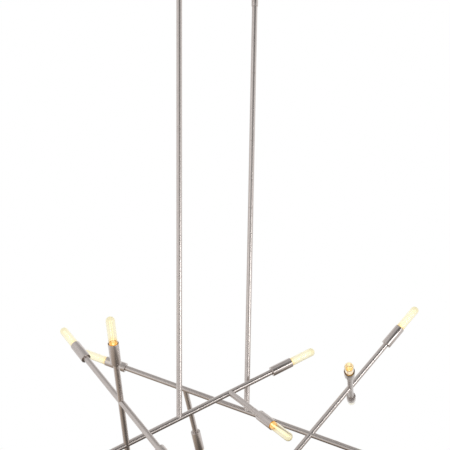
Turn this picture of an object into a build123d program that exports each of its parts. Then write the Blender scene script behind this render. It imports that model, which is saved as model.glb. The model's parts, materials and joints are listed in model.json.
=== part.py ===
"""Sputnik chandelier: two clusters of crossing tubes, each hung from its own stem.

Millimetres, +Z up. The origin is the centre of the canopy's rim, where it meets the ceiling, and +X
runs along the canopy from the left stem to the right one. Everything hangs below Z = 0.
"""
from build123d import *
import os

os.makedirs("parts", exist_ok=True)

# ---------------------------------------------------------------- driving dimensions
# canopy and what holds it to the outlet box
canopy_length = 304.8
canopy_width = 114.3
canopy_depth = 25.4
canopy_wall = 1.5
canopy_corner = 19.0
canopy_edge = 4.0
strap_length = 165.0
strap_width = 25.4
strap_thickness = 2.5
strap_corner = 5.0
box_screw_spacing = 88.9
box_screw_radius = 2.4
strap_wire_radius = 8.0
stud_spacing = 127.0
stud_radius = 2.0
stud_proud = 5.0               # stud end below the canopy's underside
cap_nut_flats = 10.0
cap_nut_height = 8.5
cap_nut_round = 2.5
ground_screw_place = 27.0
ground_screw_radius = 1.9
ground_head_radius = 3.6
ground_head_height = 2.4
ground_slot_width = 1.0
ground_slot_depth = 1.0

# swivels
swivel_spacing = 187.0
hub_neck_radius = 6.4
hub_neck_height = 10.0
hub_flange_radius = 12.0
hub_flange_height = 6.0
hub_flange_taper = 20.0
hub_nut_flats = 17.5
hub_nut_height = 4.0
journal_radius = 4.6
wireway_radius = 3.0
keeper_radius = 6.0
keeper_height = 1.8
yoke_disc_radius = 9.5
yoke_disc_height = 3.0
ear_thickness = 2.6
ear_width = 12.0
pin_drop = 44.0                # from the ceiling down to the knuckle pin
pin_radius = 2.0
pin_head_radius = 3.2
pin_head_height = 1.4
pin_tail = 0.8
tongue_thickness = 5.0
tongue_radius = 5.0
tongue_reach = 8.5             # from the pin down to the collar's top
collar_radius = 7.6
collar_length = 19.5
collar_web = 4.0
collar_wire_radius = 1.2
collar_wire_offset = 4.0

# stems
tube_radius = 6.35
tube_wall = 1.0
left_upper_rod_length = 609.6
right_upper_rod_length = 152.4
right_upper_rod_count = 4
lowest_rod_length = 304.8
foot_allowance = 3.6           # from the lowest rod's nominal end on to the bar's axis
rod_bevel = 0.35               # bevelled rod ends leave a fine line at each joint
coupler_length = 24.0
coupler_wall = 1.6
right_stem_lean = 1.3          # degrees, towards the left stem

# left cluster; lengths run from the back of one cup to the back of the other
left_bar_length = 469.9
left_bar_heading = -7.0
left_bar_tilt = 22.5
left_branch_place = 127.0      # along the bar from the stem
left_branch_heading = -83.5
left_branch_tilt = -14.5
left_cross_place = -127.0      # along the bar from the stem
left_cross_length = 304.8
left_cross_heading = 58.0
left_cross_tilt = -61.0
left_cross_above = 215.9       # from its upper cup down to the bar
left_outer_place = 98.4        # along the cross arm from its upper cup
left_outer_length = 304.8
left_outer_heading = -75.0
left_outer_tilt = -29.5
left_outer_above = 152.4       # from its upper cup down to the cross arm

# right cluster, built up in the same way
right_bar_length = 609.6
right_bar_heading = -41.5
right_bar_tilt = -15.5
right_branch_place = -152.4
right_branch_heading = 38.0
right_branch_tilt = -62.5
right_cross_place = 152.4
right_cross_length = 355.6
right_cross_heading = 170.5
right_cross_tilt = -47.5
right_cross_above = 266.7
right_outer_place = 127.0
right_outer_length = 355.6
right_outer_heading = 55.5
right_outer_tilt = -16.5
right_outer_above = 184.15

branch_length = 120.65

# lamps
cup_radius = 11.1
cup_wall = 1.0
cup_length = 50.8
cup_floor = 8.0
cup_back_bevel = 0.8
cup_lip_bevel = 0.3
tube_insert = 7.0              # how far a tube goes into the floor of its cup
holder_radius = 9.5
holder_length = 25.0
cap_radius = 6.0
cap_length = 17.0
cap_tip_radius = 2.4
cap_tip_height = 2.0
glass_radius = 9.45
glass_neck_radius = 6.2
glass_neck_height = 7.0
glass_shoulder_height = 6.0
glass_wall = 0.7
glass_length = 80.5
mount_radius = 2.8
mount_height = 15.0
lead_height = 3.0
strip_width = 1.6
strip_thickness = 0.9
strip_spread = 3.8
strip_length = 52.0

# ---------------------------------------------------------------- clearances
running_gap = 0.05             # a pin or journal in its bore
face_gap = 0.3                 # faces that turn or swing past each other
thread_gap = 0.05              # screwed pieces of one assembly
hole_gap = 0.4                 # holes that a screw or neck passes freely
seam_gap = 0.05                # between two rods screwed end to end
cope_gap = 0.02                # between a coped tube end and the tube it is brazed to
cope_trim = 1.5                # a coped end stops this far short of the other tube's axis

# ---------------------------------------------------------------- worked-out sizes
hub_bottom = canopy_depth + hub_flange_height
hub_top = canopy_depth - hub_neck_height
yoke_top = hub_bottom + face_gap
keeper_bottom = hub_top - face_gap
ear_top = yoke_top + yoke_disc_height
ear_inner = tongue_thickness / 2 + face_gap
ear_outer = ear_inner + ear_thickness
stem_top = tongue_reach + collar_length
foot_top = stem_top + left_upper_rod_length
bar_drop = foot_top + lowest_rod_length + foot_allowance
tube_bore = tube_radius - tube_wall
wire_hole_radius = tube_bore - tube_wall
cope_reach = 5 * tube_radius   # enough to cut right through a tube met at a slant
coupler_radius = tube_bore - thread_gap
cup_bore = cup_radius - cup_wall
bulb_base = cup_floor + holder_length + face_gap
cap_bottom = bulb_base - cap_length - cap_tip_height

hub_places = GridLocations(swivel_spacing, 1, 2, 1)
stud_places = GridLocations(stud_spacing, 1, 2, 1)
canopy_underside = Plane.XY.offset(-canopy_depth)


# ---------------------------------------------------------------- centre lines
def direction(frame, heading, tilt):
    """Unit vector in a cluster's frame: heading about its stem, tilt above the level, degrees."""
    along = Vector(1, 0, 0).rotate(Axis.Y, -tilt).rotate(Axis.Z, heading)
    return frame.from_local_coords(along) - frame.origin


class Run:
    """The straight centre line of a tube."""

    def __init__(self, start, way, length):
        self.start = start
        self.way = way
        self.length = length

    def at(self, distance):
        """Point at a distance from the start."""
        return self.start + self.way * distance

    def plane(self, distance):
        """Plane across the tube, facing along it."""
        return Plane(origin=self.at(distance), z_dir=self.way)

    def start_seat(self):
        """Plane on the back of the cup at the start, facing out along the lamp."""
        return Plane(origin=self.start, z_dir=-self.way)

    def end_seat(self):
        """Plane on the back of the cup at the end, facing out along the lamp."""
        return Plane(origin=self.at(self.length), z_dir=self.way)


def crossing_run(carrier, place, way, length, above):
    """Centre line that crosses the carrier at a place, with its own start that far above."""
    return Run(carrier.at(place) - way * above, way, length)


# each cluster has its own frame, on the knuckle pin of its swivel and square to its stem
left_frame = Plane(origin=(-swivel_spacing / 2, 0, -pin_drop))
right_frame = Plane(origin=(swivel_spacing / 2, 0, -pin_drop)).rotated((0, right_stem_lean, 0))

left_stem = Run(left_frame.origin, -left_frame.z_dir, bar_drop)
left_bar_way = direction(left_frame, left_bar_heading, left_bar_tilt)
left_bar = Run(left_stem.at(bar_drop) - left_bar_way * left_bar_length / 2, left_bar_way, left_bar_length)
left_branch = Run(
    left_bar.at(left_bar_length / 2 + left_branch_place),
    direction(left_frame, left_branch_heading, left_branch_tilt),
    branch_length,
)
left_cross = crossing_run(
    left_bar,
    left_bar_length / 2 + left_cross_place,
    direction(left_frame, left_cross_heading, left_cross_tilt),
    left_cross_length,
    left_cross_above,
)
left_outer = crossing_run(
    left_cross,
    left_outer_place,
    direction(left_frame, left_outer_heading, left_outer_tilt),
    left_outer_length,
    left_outer_above,
)

right_stem = Run(right_frame.origin, -right_frame.z_dir, bar_drop)
right_bar_way = direction(right_frame, right_bar_heading, right_bar_tilt)
right_bar = Run(
    right_stem.at(bar_drop) - right_bar_way * right_bar_length / 2, right_bar_way, right_bar_length
)
right_branch = Run(
    right_bar.at(right_bar_length / 2 + right_branch_place),
    direction(right_frame, right_branch_heading, right_branch_tilt),
    branch_length,
)
right_cross = crossing_run(
    right_bar,
    right_bar_length / 2 + right_cross_place,
    direction(right_frame, right_cross_heading, right_cross_tilt),
    right_cross_length,
    right_cross_above,
)
right_outer = crossing_run(
    right_cross,
    right_outer_place,
    direction(right_frame, right_outer_heading, right_outer_tilt),
    right_outer_length,
    right_outer_above,
)

left_seats = {
    "bar_foot": left_bar.start_seat(),
    "bar_top": left_bar.end_seat(),
    "branch": left_branch.end_seat(),
    "cross_top": left_cross.start_seat(),
    "cross_foot": left_cross.end_seat(),
    "outer_top": left_outer.start_seat(),
    "outer_foot": left_outer.end_seat(),
}
right_seats = {
    "bar_top": right_bar.start_seat(),
    "bar_foot": right_bar.end_seat(),
    "branch": right_branch.end_seat(),
    "cross_top": right_cross.start_seat(),
    "cross_foot": right_cross.end_seat(),
    "outer_top": right_outer.start_seat(),
    "outer_foot": right_outer.end_seat(),
}

# ---------------------------------------------------------------- canopy and its fixings
with BuildPart() as canopy_shell:
    with BuildSketch():
        RectangleRounded(canopy_length, canopy_width, canopy_corner)
    extrude(amount=-canopy_depth)
    fillet(canopy_shell.faces().sort_by(Axis.Z)[0].edges(), canopy_edge)
    offset(amount=-canopy_wall, openings=canopy_shell.faces().sort_by(Axis.Z)[-1])
    with BuildSketch(canopy_underside):
        with hub_places:
            Circle(hub_neck_radius + hole_gap)
        with stud_places:
            Circle(stud_radius + hole_gap)
    extrude(amount=canopy_depth, mode=Mode.SUBTRACT)
canopy_shell.part.label = "canopy_shell"
export_step(canopy_shell.part, "parts/canopy_shell.step")

with BuildPart() as mounting_strap:
    with BuildSketch():
        RectangleRounded(strap_length, strap_width, strap_corner)
        Circle(strap_wire_radius, mode=Mode.SUBTRACT)
        with GridLocations(box_screw_spacing, 1, 2, 1):
            Circle(box_screw_radius, mode=Mode.SUBTRACT)
        with stud_places:
            Circle(stud_radius + thread_gap, mode=Mode.SUBTRACT)
        with Locations((ground_screw_place, 0)):
            Circle(ground_screw_radius + thread_gap, mode=Mode.SUBTRACT)
    extrude(amount=-strap_thickness)
mounting_strap.part.label = "mounting_strap"
export_step(mounting_strap.part, "parts/mounting_strap.step")

with BuildPart() as canopy_studs:
    with BuildSketch():
        with stud_places:
            Circle(stud_radius)
    extrude(amount=-canopy_depth - stud_proud)
canopy_studs.part.label = "canopy_studs"
export_step(canopy_studs.part, "parts/canopy_studs.step")

with BuildPart() as cap_nuts:
    with BuildSketch(canopy_underside):
        with stud_places:
            RegularPolygon(cap_nut_flats / 2, 6, major_radius=False)
    extrude(amount=-cap_nut_height)
    fillet(cap_nuts.faces().group_by(Axis.Z)[0].edges(), cap_nut_round)
    with BuildSketch(canopy_underside):
        with stud_places:
            Circle(stud_radius + thread_gap)
    extrude(amount=-stud_proud - face_gap, mode=Mode.SUBTRACT)
cap_nuts.part.label = "cap_nuts"
export_step(cap_nuts.part, "parts/cap_nuts.step")

with BuildPart() as ground_screw:
    with BuildSketch(Plane.XY.offset(-strap_thickness)):
        with Locations((ground_screw_place, 0)):
            Circle(ground_head_radius)
    extrude(amount=-ground_head_height)
    with BuildSketch(Plane.XY.offset(-strap_thickness)):
        with Locations((ground_screw_place, 0)):
            Circle(ground_screw_radius)
    extrude(amount=strap_thickness)
    with BuildSketch(Plane.XY.offset(-strap_thickness - ground_head_height)):
        with Locations((ground_screw_place, 0)):
            Rectangle(2 * ground_head_radius, ground_slot_width)
    extrude(amount=ground_slot_depth, mode=Mode.SUBTRACT)
ground_screw.part.label = "ground_screw"
export_step(ground_screw.part, "parts/ground_screw.step")

# ---------------------------------------------------------------- swivel hubs, fixed in the canopy
with BuildPart() as swivel_hubs:
    with BuildSketch(canopy_underside):
        with hub_places:
            Circle(hub_flange_radius)
    extrude(amount=-hub_flange_height, taper=hub_flange_taper)
    with BuildSketch(canopy_underside):
        with hub_places:
            Circle(hub_neck_radius)
    extrude(amount=hub_neck_height)
    with BuildSketch(Plane.XY.offset(-hub_bottom)):
        with hub_places:
            Circle(journal_radius + running_gap)
    extrude(amount=hub_flange_height + hub_neck_height, mode=Mode.SUBTRACT)
swivel_hubs.part.label = "swivel_hubs"
export_step(swivel_hubs.part, "parts/swivel_hubs.step")

with BuildPart() as hub_nuts:
    with BuildSketch(Plane.XY.offset(canopy_wall - canopy_depth)):
        with hub_places:
            RegularPolygon(hub_nut_flats / 2, 6, major_radius=False)
            Circle(hub_neck_radius + thread_gap, mode=Mode.SUBTRACT)
    extrude(amount=hub_nut_height)
hub_nuts.part.label = "hub_nuts"
export_step(hub_nuts.part, "parts/hub_nuts.step")

# ---------------------------------------------------------------- swivel yokes, pins and collars
for side, frame in {"left": left_frame, "right": right_frame}.items():
    pin_centre = frame.origin
    upright = Plane(origin=(pin_centre.X, 0, 0))
    # looking along +Y at the pin, with the drawing's Y upwards
    ear_plane = Plane(origin=pin_centre, x_dir=(1, 0, 0), z_dir=(0, -1, 0))
    tongue_plane = Plane(origin=pin_centre, x_dir=frame.x_dir, z_dir=-frame.y_dir)

    with BuildPart() as yoke:
        with BuildSketch(upright.offset(-ear_top)):
            Circle(yoke_disc_radius)
        extrude(amount=yoke_disc_height)
        with BuildSketch(upright.offset(-yoke_top)):
            Circle(journal_radius)
        extrude(amount=yoke_top - keeper_bottom)
        with BuildSketch(upright.offset(-keeper_bottom)):
            Circle(keeper_radius)
        extrude(amount=keeper_height)
        with BuildSketch(upright.offset(-ear_top)):
            Circle(wireway_radius)
        extrude(amount=ear_top, mode=Mode.SUBTRACT)
        for face_plane in (ear_plane.offset(ear_inner), ear_plane.offset(-ear_outer)):
            with BuildSketch(face_plane):
                Circle(ear_width / 2)
                with Locations((0, (pin_drop - ear_top) / 2)):
                    Rectangle(ear_width, pin_drop - ear_top)
                Circle(pin_radius + thread_gap, mode=Mode.SUBTRACT)
            extrude(amount=ear_thickness)
    yoke.part.label = f"{side}_swivel_yoke"
    export_step(yoke.part, f"parts/{side}_swivel_yoke.step")

    with BuildPart() as knuckle_pin:
        with BuildSketch(ear_plane.offset(-ear_outer - pin_tail)):
            Circle(pin_radius)
        extrude(amount=2 * ear_outer + pin_tail)
        with BuildSketch(ear_plane.offset(ear_outer)):
            Circle(pin_head_radius)
        extrude(amount=pin_head_height)
    knuckle_pin.part.label = f"{side}_knuckle_pin"
    export_step(knuckle_pin.part, f"parts/{side}_knuckle_pin.step")

    with BuildPart() as stem_collar:
        with BuildSketch(frame.offset(-tongue_reach)):
            Circle(collar_radius)
        extrude(amount=-collar_length)
        with BuildSketch(frame.offset(-stem_top)):
            Circle(tube_bore)
        extrude(amount=collar_length - collar_web, mode=Mode.SUBTRACT)
        with BuildSketch(tongue_plane):
            Circle(tongue_radius)
            with Locations((0, -tongue_reach / 2)):
                Rectangle(2 * tongue_radius, tongue_reach)
        extrude(amount=tongue_thickness / 2, both=True)
        with BuildSketch(tongue_plane):
            Circle(pin_radius + running_gap)
        extrude(amount=tongue_thickness / 2, both=True, mode=Mode.SUBTRACT)
        with BuildSketch(frame.offset(-tongue_reach)):
            with GridLocations(1, 2 * collar_wire_offset, 1, 2):
                Circle(collar_wire_radius)
        extrude(amount=-collar_web, mode=Mode.SUBTRACT)
    stem_collar.part.label = f"{side}_stem_collar"
    export_step(stem_collar.part, f"parts/{side}_stem_collar.step")



# ---------------------------------------------------------------- tubes
def tube(run, first, last):
    """Straight tube on a centre line, between two distances from its start."""
    with BuildPart() as piece:
        with BuildSketch(run.plane(first)):
            Circle(tube_radius)
            Circle(tube_bore, mode=Mode.SUBTRACT)
        extrude(amount=last - first)
    return piece.part


def cutter(run, radius, first, last):
    """Round bar on a centre line, to be cut away from another tube."""
    with BuildPart() as piece:
        with BuildSketch(run.plane(first)):
            Circle(radius)
        extrude(amount=last - first)
    return piece.part


def saddle_cutter(carrier, place):
    """What the carrier takes out of a tube that is coped to sit on it."""
    return cutter(carrier, tube_radius + cope_gap, place - cope_reach, place + cope_reach)


def wire_hole_cutter(run, place, both_sides):
    """Wire hole from inside a tube, out into a tube that sits on it or right through both sides."""
    first = place - cope_reach if both_sides else place
    return cutter(run, wire_hole_radius, first, place + cope_reach)


def crossing_arm(arm, above, carrier, place):
    """Two tubes in line, coped on opposite sides of the tube that they cross."""
    with BuildPart() as halves:
        add(tube(arm, -tube_insert, above - cope_trim))
        add(tube(arm, above + cope_trim, arm.length + tube_insert))
        add(saddle_cutter(carrier, place), mode=Mode.SUBTRACT)
    return halves.part


def screwed_rods(stem, depth, lengths):
    """Rods end to end down a stem, with bevelled ends, so that each joint shows as a fine line."""
    with BuildPart() as row:
        for length in lengths:
            add(tube(stem, depth + seam_gap, depth + length))
            depth += length
        ends = row.edges().filter_by(GeomType.CIRCLE).filter_by(lambda edge: edge.radius > tube_bore)
        chamfer(ends, rod_bevel)
    return row.part


def lowest_rod(stem, bar):
    """The lowest rod of a stem, coped to sit on its bar."""
    with BuildPart() as rod:
        add(tube(stem, foot_top + seam_gap, bar_drop - cope_trim))
        chamfer(rod.faces().sort_by(Axis.Z)[-1].outer_wire().edges(), rod_bevel)
        add(saddle_cutter(bar, bar.length / 2), mode=Mode.SUBTRACT)
    return rod.part


def couplers(stem, joints):
    """Threaded nipples inside the rods, each centred on its joint at a depth below the pin."""
    with BuildPart() as row:
        for depth in joints:
            with BuildSketch(stem.plane(depth - coupler_length / 2)):
                Circle(coupler_radius)
                Circle(coupler_radius - coupler_wall, mode=Mode.SUBTRACT)
            extrude(amount=coupler_length)
    return row.part


# ---------------------------------------------------------------- left stem and arms
with BuildPart() as left_upper_rod:
    add(screwed_rods(left_stem, stem_top, [left_upper_rod_length]))
left_upper_rod.part.label = "left_upper_rod"
export_step(left_upper_rod.part, "parts/left_upper_rod.step")

with BuildPart() as left_lower_rod:
    add(lowest_rod(left_stem, left_bar))
left_lower_rod.part.label = "left_lower_rod"
export_step(left_lower_rod.part, "parts/left_lower_rod.step")

with BuildPart() as left_couplers:
    add(couplers(left_stem, [stem_top, foot_top]))
left_couplers.part.label = "left_couplers"
export_step(left_couplers.part, "parts/left_couplers.step")

with BuildPart() as left_bar_tube:
    add(tube(left_bar, -tube_insert, left_bar.length + tube_insert))
    add(cutter(left_stem, wire_hole_radius, bar_drop - cope_reach, bar_drop), mode=Mode.SUBTRACT)
    add(wire_hole_cutter(left_branch, 0, both_sides=False), mode=Mode.SUBTRACT)
    add(wire_hole_cutter(left_cross, left_cross_above, both_sides=True), mode=Mode.SUBTRACT)
left_bar_tube.part.label = "left_bar"
export_step(left_bar_tube.part, "parts/left_bar.step")

with BuildPart() as left_branch_tube:
    add(tube(left_branch, cope_trim, branch_length + tube_insert))
    add(saddle_cutter(left_bar, left_bar.length / 2 + left_branch_place), mode=Mode.SUBTRACT)
left_branch_tube.part.label = "left_branch"
export_step(left_branch_tube.part, "parts/left_branch.step")

with BuildPart() as left_cross_arm:
    add(crossing_arm(left_cross, left_cross_above, left_bar, left_bar.length / 2 + left_cross_place))
    add(wire_hole_cutter(left_outer, left_outer_above, both_sides=True), mode=Mode.SUBTRACT)
left_cross_arm.part.label = "left_cross_arm"
export_step(left_cross_arm.part, "parts/left_cross_arm.step")

with BuildPart() as left_outer_arm:
    add(crossing_arm(left_outer, left_outer_above, left_cross, left_outer_place))
left_outer_arm.part.label = "left_outer_arm"
export_step(left_outer_arm.part, "parts/left_outer_arm.step")

# ---------------------------------------------------------------- right stem and arms
with BuildPart() as right_rods:
    add(screwed_rods(right_stem, stem_top, [right_upper_rod_length] * right_upper_rod_count))
    add(lowest_rod(right_stem, right_bar))
right_rods.part.label = "right_rods"
export_step(right_rods.part, "parts/right_rods.step")

with BuildPart() as right_couplers:
    joint_count = right_upper_rod_count + 1
    add(couplers(right_stem, [stem_top + right_upper_rod_length * step for step in range(joint_count)]))
right_couplers.part.label = "right_couplers"
export_step(right_couplers.part, "parts/right_couplers.step")

with BuildPart() as right_bar_tube:
    add(tube(right_bar, -tube_insert, right_bar.length + tube_insert))
    add(cutter(right_stem, wire_hole_radius, bar_drop - cope_reach, bar_drop), mode=Mode.SUBTRACT)
    add(wire_hole_cutter(right_branch, 0, both_sides=False), mode=Mode.SUBTRACT)
    add(wire_hole_cutter(right_cross, right_cross_above, both_sides=True), mode=Mode.SUBTRACT)
right_bar_tube.part.label = "right_bar"
export_step(right_bar_tube.part, "parts/right_bar.step")

with BuildPart() as right_branch_tube:
    add(tube(right_branch, cope_trim, branch_length + tube_insert))
    add(saddle_cutter(right_bar, right_bar.length / 2 + right_branch_place), mode=Mode.SUBTRACT)
right_branch_tube.part.label = "right_branch"
export_step(right_branch_tube.part, "parts/right_branch.step")

with BuildPart() as right_cross_arm:
    add(crossing_arm(right_cross, right_cross_above, right_bar, right_bar.length / 2 + right_cross_place))
    add(wire_hole_cutter(right_outer, right_outer_above, both_sides=True), mode=Mode.SUBTRACT)
right_cross_arm.part.label = "right_cross_arm"
export_step(right_cross_arm.part, "parts/right_cross_arm.step")

with BuildPart() as right_outer_arm:
    add(crossing_arm(right_outer, right_outer_above, right_cross, right_outer_place))
right_outer_arm.part.label = "right_outer_arm"
export_step(right_outer_arm.part, "parts/right_outer_arm.step")

# ---------------------------------------------------------------- one lamp, standing on the XY plane
with BuildPart() as cup:
    with BuildSketch():
        Circle(cup_radius)
    extrude(amount=cup_length)
    chamfer(cup.faces().sort_by(Axis.Z)[0].edges(), cup_back_bevel)
    with BuildSketch(Plane.XY.offset(cup_floor)):
        Circle(cup_bore)
    extrude(amount=cup_length - cup_floor, mode=Mode.SUBTRACT)
    with BuildSketch():
        Circle(tube_radius + thread_gap)
    extrude(amount=tube_insert, mode=Mode.SUBTRACT)
    with BuildSketch():
        Circle(wire_hole_radius)
    extrude(amount=cup_floor, mode=Mode.SUBTRACT)
    chamfer(cup.faces().sort_by(Axis.Z)[-1].outer_wire().edges(), cup_lip_bevel)

with BuildPart() as lampholder:
    with BuildSketch(Plane.XY.offset(cup_floor)):
        Circle(holder_radius)
    extrude(amount=holder_length)
    with BuildSketch(Plane.XY.offset(cap_bottom)):
        Circle(cap_radius + thread_gap)
    extrude(amount=cup_floor + holder_length - cap_bottom, mode=Mode.SUBTRACT)

with BuildPart() as lamp_cap:
    with BuildSketch(Plane.XY.offset(bulb_base)):
        Circle(cap_radius)
    extrude(amount=-cap_length)
    with BuildSketch(Plane.XY.offset(cap_bottom)):
        Circle(cap_tip_radius)
    extrude(amount=cap_tip_height)

with BuildPart() as filament:
    with BuildSketch(Plane.XY.offset(bulb_base)):
        Circle(mount_radius)
    extrude(amount=mount_height)
    with BuildSketch(Plane.XY.offset(bulb_base + mount_height)):
        with GridLocations(strip_spread, 1, 2, 1):
            Rectangle(strip_thickness, strip_thickness)
    extrude(amount=lead_height)
    with BuildSketch(Plane.XY.offset(bulb_base + mount_height + lead_height)):
        with GridLocations(strip_spread, 1, 2, 1):
            Rectangle(strip_thickness, strip_width)
    extrude(amount=strip_length)
    with BuildSketch(Plane.XY.offset(bulb_base + mount_height + lead_height + strip_length)):
        Rectangle(strip_spread + strip_thickness, strip_thickness)
    extrude(amount=strip_thickness)


def glass_half(inset):
    """Half outline of the glass, from its axis to a line that far inside its outer face."""
    neck = glass_neck_radius - inset
    side = glass_radius - inset
    dome_centre = bulb_base + glass_length - glass_radius
    shoulder_start = bulb_base + glass_neck_height
    shoulder_end = shoulder_start + glass_shoulder_height
    with BuildSketch() as half:
        with BuildLine():
            Polyline(
                (0, bulb_base),
                (neck, bulb_base),
                (neck, shoulder_start),
                (side, shoulder_end),
                (side, dome_centre),
            )
            CenterArc((0, dome_centre), side, 0, 90)
            Line((0, dome_centre + side), (0, bulb_base))
        make_face()
    return half.sketch


with BuildPart() as bulb:
    with BuildSketch(Plane.XZ):
        add(glass_half(0))
        add(glass_half(glass_wall), mode=Mode.SUBTRACT)
    revolve(axis=Axis.Z)

# ---------------------------------------------------------------- the lamps on the ends of the arms
def placed(piece, seats):
    """Copies of a piece of the lamp, one on each seat."""
    with BuildPart() as copies:
        with Locations(*seats):
            add(piece.part)
    return copies.part


for side, seats in {"left": left_seats, "right": right_seats}.items():
    for end, seat in seats.items():
        for name, piece in {"cup": cup, "bulb": bulb}.items():
            with BuildPart() as lamp_piece:
                add(placed(piece, [seat]))
            lamp_piece.part.label = f"{name}_{side}_{end}"
            export_step(lamp_piece.part, f"parts/{name}_{side}_{end}.step")
    for name, piece in {"lampholders": lampholder, "lamp_caps": lamp_cap, "filaments": filament}.items():
        with BuildPart() as lamp_pieces:
            add(placed(piece, seats.values()))
        lamp_pieces.part.label = f"{side}_{name}"
        export_step(lamp_pieces.part, f"parts/{side}_{name}.step")
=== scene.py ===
"""The looks of a sputnik chandelier: two clusters of crossed nickel tubes, each hung from its own stem.

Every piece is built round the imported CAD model, in metres, and stands in for the CAD node of its name.
Its place is read from the CAD nodes, and its body and slot from their record.
"""

import json
import math

import bmesh
import bpy
from bpy.props import FloatProperty, FloatVectorProperty, IntProperty, PointerProperty
from mathutils import Matrix, Vector
from mathutils.geometry import intersect_line_line


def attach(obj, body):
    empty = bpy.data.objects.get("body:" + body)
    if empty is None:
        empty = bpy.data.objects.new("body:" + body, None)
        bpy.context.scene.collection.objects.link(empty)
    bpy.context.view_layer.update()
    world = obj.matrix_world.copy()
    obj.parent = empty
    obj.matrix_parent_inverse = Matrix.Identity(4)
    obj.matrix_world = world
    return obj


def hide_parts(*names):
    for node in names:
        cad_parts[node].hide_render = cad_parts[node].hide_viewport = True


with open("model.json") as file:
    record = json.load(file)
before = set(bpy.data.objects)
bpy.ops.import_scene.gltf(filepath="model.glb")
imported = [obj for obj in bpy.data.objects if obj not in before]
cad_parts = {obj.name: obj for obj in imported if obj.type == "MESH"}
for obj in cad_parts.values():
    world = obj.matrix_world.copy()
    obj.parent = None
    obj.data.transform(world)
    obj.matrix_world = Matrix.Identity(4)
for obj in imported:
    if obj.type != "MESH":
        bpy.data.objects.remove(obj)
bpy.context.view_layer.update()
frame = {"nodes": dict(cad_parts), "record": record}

bl_info = {
    "name": "Sputnik Chandelier",
    "version": (1, 0, 0),
    "blender": (4, 5, 0),
    "location": "View3D > Sidebar > Chandelier",
    "description": "Builds the tubes, cups, bulbs, canopy and studio of a two-stem sputnik chandelier",
    "category": "Add Mesh",
}

RECORD = frame["record"]
BODIES = {node: body for body, nodes in RECORD["behaviour"]["bodies"].items() for node in nodes}
SLOTS = {part["node"]: part["material_slot"] for part in RECORD["subparts"]}

SIDES = ("left", "right")
LAMP_ENDS = ("bar_foot", "bar_top", "branch", "cross_top", "cross_foot", "outer_top", "outer_foot")
LAMPS = [f"{side}_{end}" for side in SIDES for end in LAMP_ENDS]
# the lamps at the start and at the end of each tube, and the tube that carries it
CARRIED_TUBES = {
    "branch": (None, "branch", "bar"),
    "cross_arm": ("cross_top", "cross_foot", "bar"),
    "outer_arm": ("outer_top", "outer_foot", "cross_arm"),
}
TUBES = {
    "left": {"bar": ("bar_foot", "bar_top", None), **CARRIED_TUBES},
    "right": {"bar": ("bar_top", "bar_foot", None), **CARRIED_TUBES},
}

# directions: into the ceiling, and away from the side that the photograph shows
UP = Vector((0, 0, 1))
BACK = Vector((0, 1, 0))
# vertices nearer than this are one
MERGE = 2e-6
# attributes of a vertex: where it was before its piece was put in place, and the direction that the
# piece was turned and brushed about
OWN_PLACE = "own_place"
TURNED_ABOUT = "turned_about"

# rounds of corners and edges: the radius, and the steps of the round
EASED = (0.0002, 2)
BROKEN = (0.0003, 2)
KEEPER_ROUND = (0.0004, 2)
COLLAR_FOOT_ROUND = (0.0004, 3)
PIN_END_ROUND = (0.0005, 3)
DISC_ROUND = (0.0006, 4)
MOUNT_ROUND = (0.0006, 3)
MOUNT_TOP_ROUND = (0.0008, 3)
COLLAR_TOP_ROUND = (0.0007, 4)
FLANGE_ROUND = (0.0008, 4)
PIN_HEAD_ROUND = (0.0009, 4)
GLASS_FOOT_ROUND = (0.0012, 3)
GLASS_SHOULDER_ROUND = (0.0022, 4)
# a filament strip's round, as a share of its thickness
STRIP_ROUND = 0.3
STRIP_STEPS = 2

# sides and steps of the small round shapes
CORNER_STEPS = 14
DOME_STEPS = 14
EDGE_STEPS = 6
BACK_STEPS = 4
LIP_STEPS = 3
HOLE_STEPS = 32
PIN_STEPS = 32
STUD_STEPS = 24
MOUNT_STEPS = 24
WIRE_STEPS = 10

# an ear: the round of its end as a share of its radius, the turn in radians above which an edge is broken,
# and how far from the hole such an edge lies at least, in radii of the hole
EAR_ROUND = 0.999
EAR_EDGE_TURN = 1.2
EAR_EDGE_CLEAR = 1.5
# radius of the flat that a bulb's dome leaves at its tip
DOME_FLAT = 0.00001
# how much the pattern of a flat brushed piece is drawn out along X
FLAT_STRETCH = 0.1
# angles in degrees: up to which edges are shaded smooth, and under which CAD faces are flat
SMOOTH_ANGLE = 30
THREAD_SMOOTH_ANGLE = 50
GLASS_SMOOTH_ANGLE = 60
FLAT_ANGLE = 0.5


# ---------------------------------------------------------------- places read from the CAD nodes
def surface_centre(node):
    """Centre of a node's surface, each triangle weighted by its area."""
    total, weight = Vector(), 0.0
    for face in frame["nodes"][node].data.polygons:
        total += face.center * face.area
        weight += face.area
    return total / weight


class Line:
    """A straight centre line with a start, a direction and a length."""

    def __init__(self, start, end):
        self.start = start
        self.end = end
        self.length = (end - start).length
        self.way = (end - start).normalized()

    def at(self, distance):
        """Point at a distance from the start."""
        return self.start + self.way * distance

    def crossing(self, other):
        """Point of this line that is nearest to the other line."""
        return intersect_line_line(self.start, self.end, other.start, other.end)[0]


def lamp_line(lamp):
    """Centre line of a lamp, from the back of its cup out to the tip of its bulb."""
    cup, bulb = f"cup_{lamp}", f"bulb_{lamp}"
    middle = surface_centre(cup)
    way = (surface_centre(bulb) - middle).normalized()
    back = min((v.co - middle).dot(way) for v in frame["nodes"][cup].data.vertices)
    tip = max((v.co - middle).dot(way) for v in frame["nodes"][bulb].data.vertices)
    return Line(middle + way * back, middle + way * tip)


def joint_place(name):
    """Where a joint of the record stands."""
    return next(Vector(j["pos_m"]) for j in RECORD["behaviour"]["joints"] if j["name"] == name)


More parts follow.
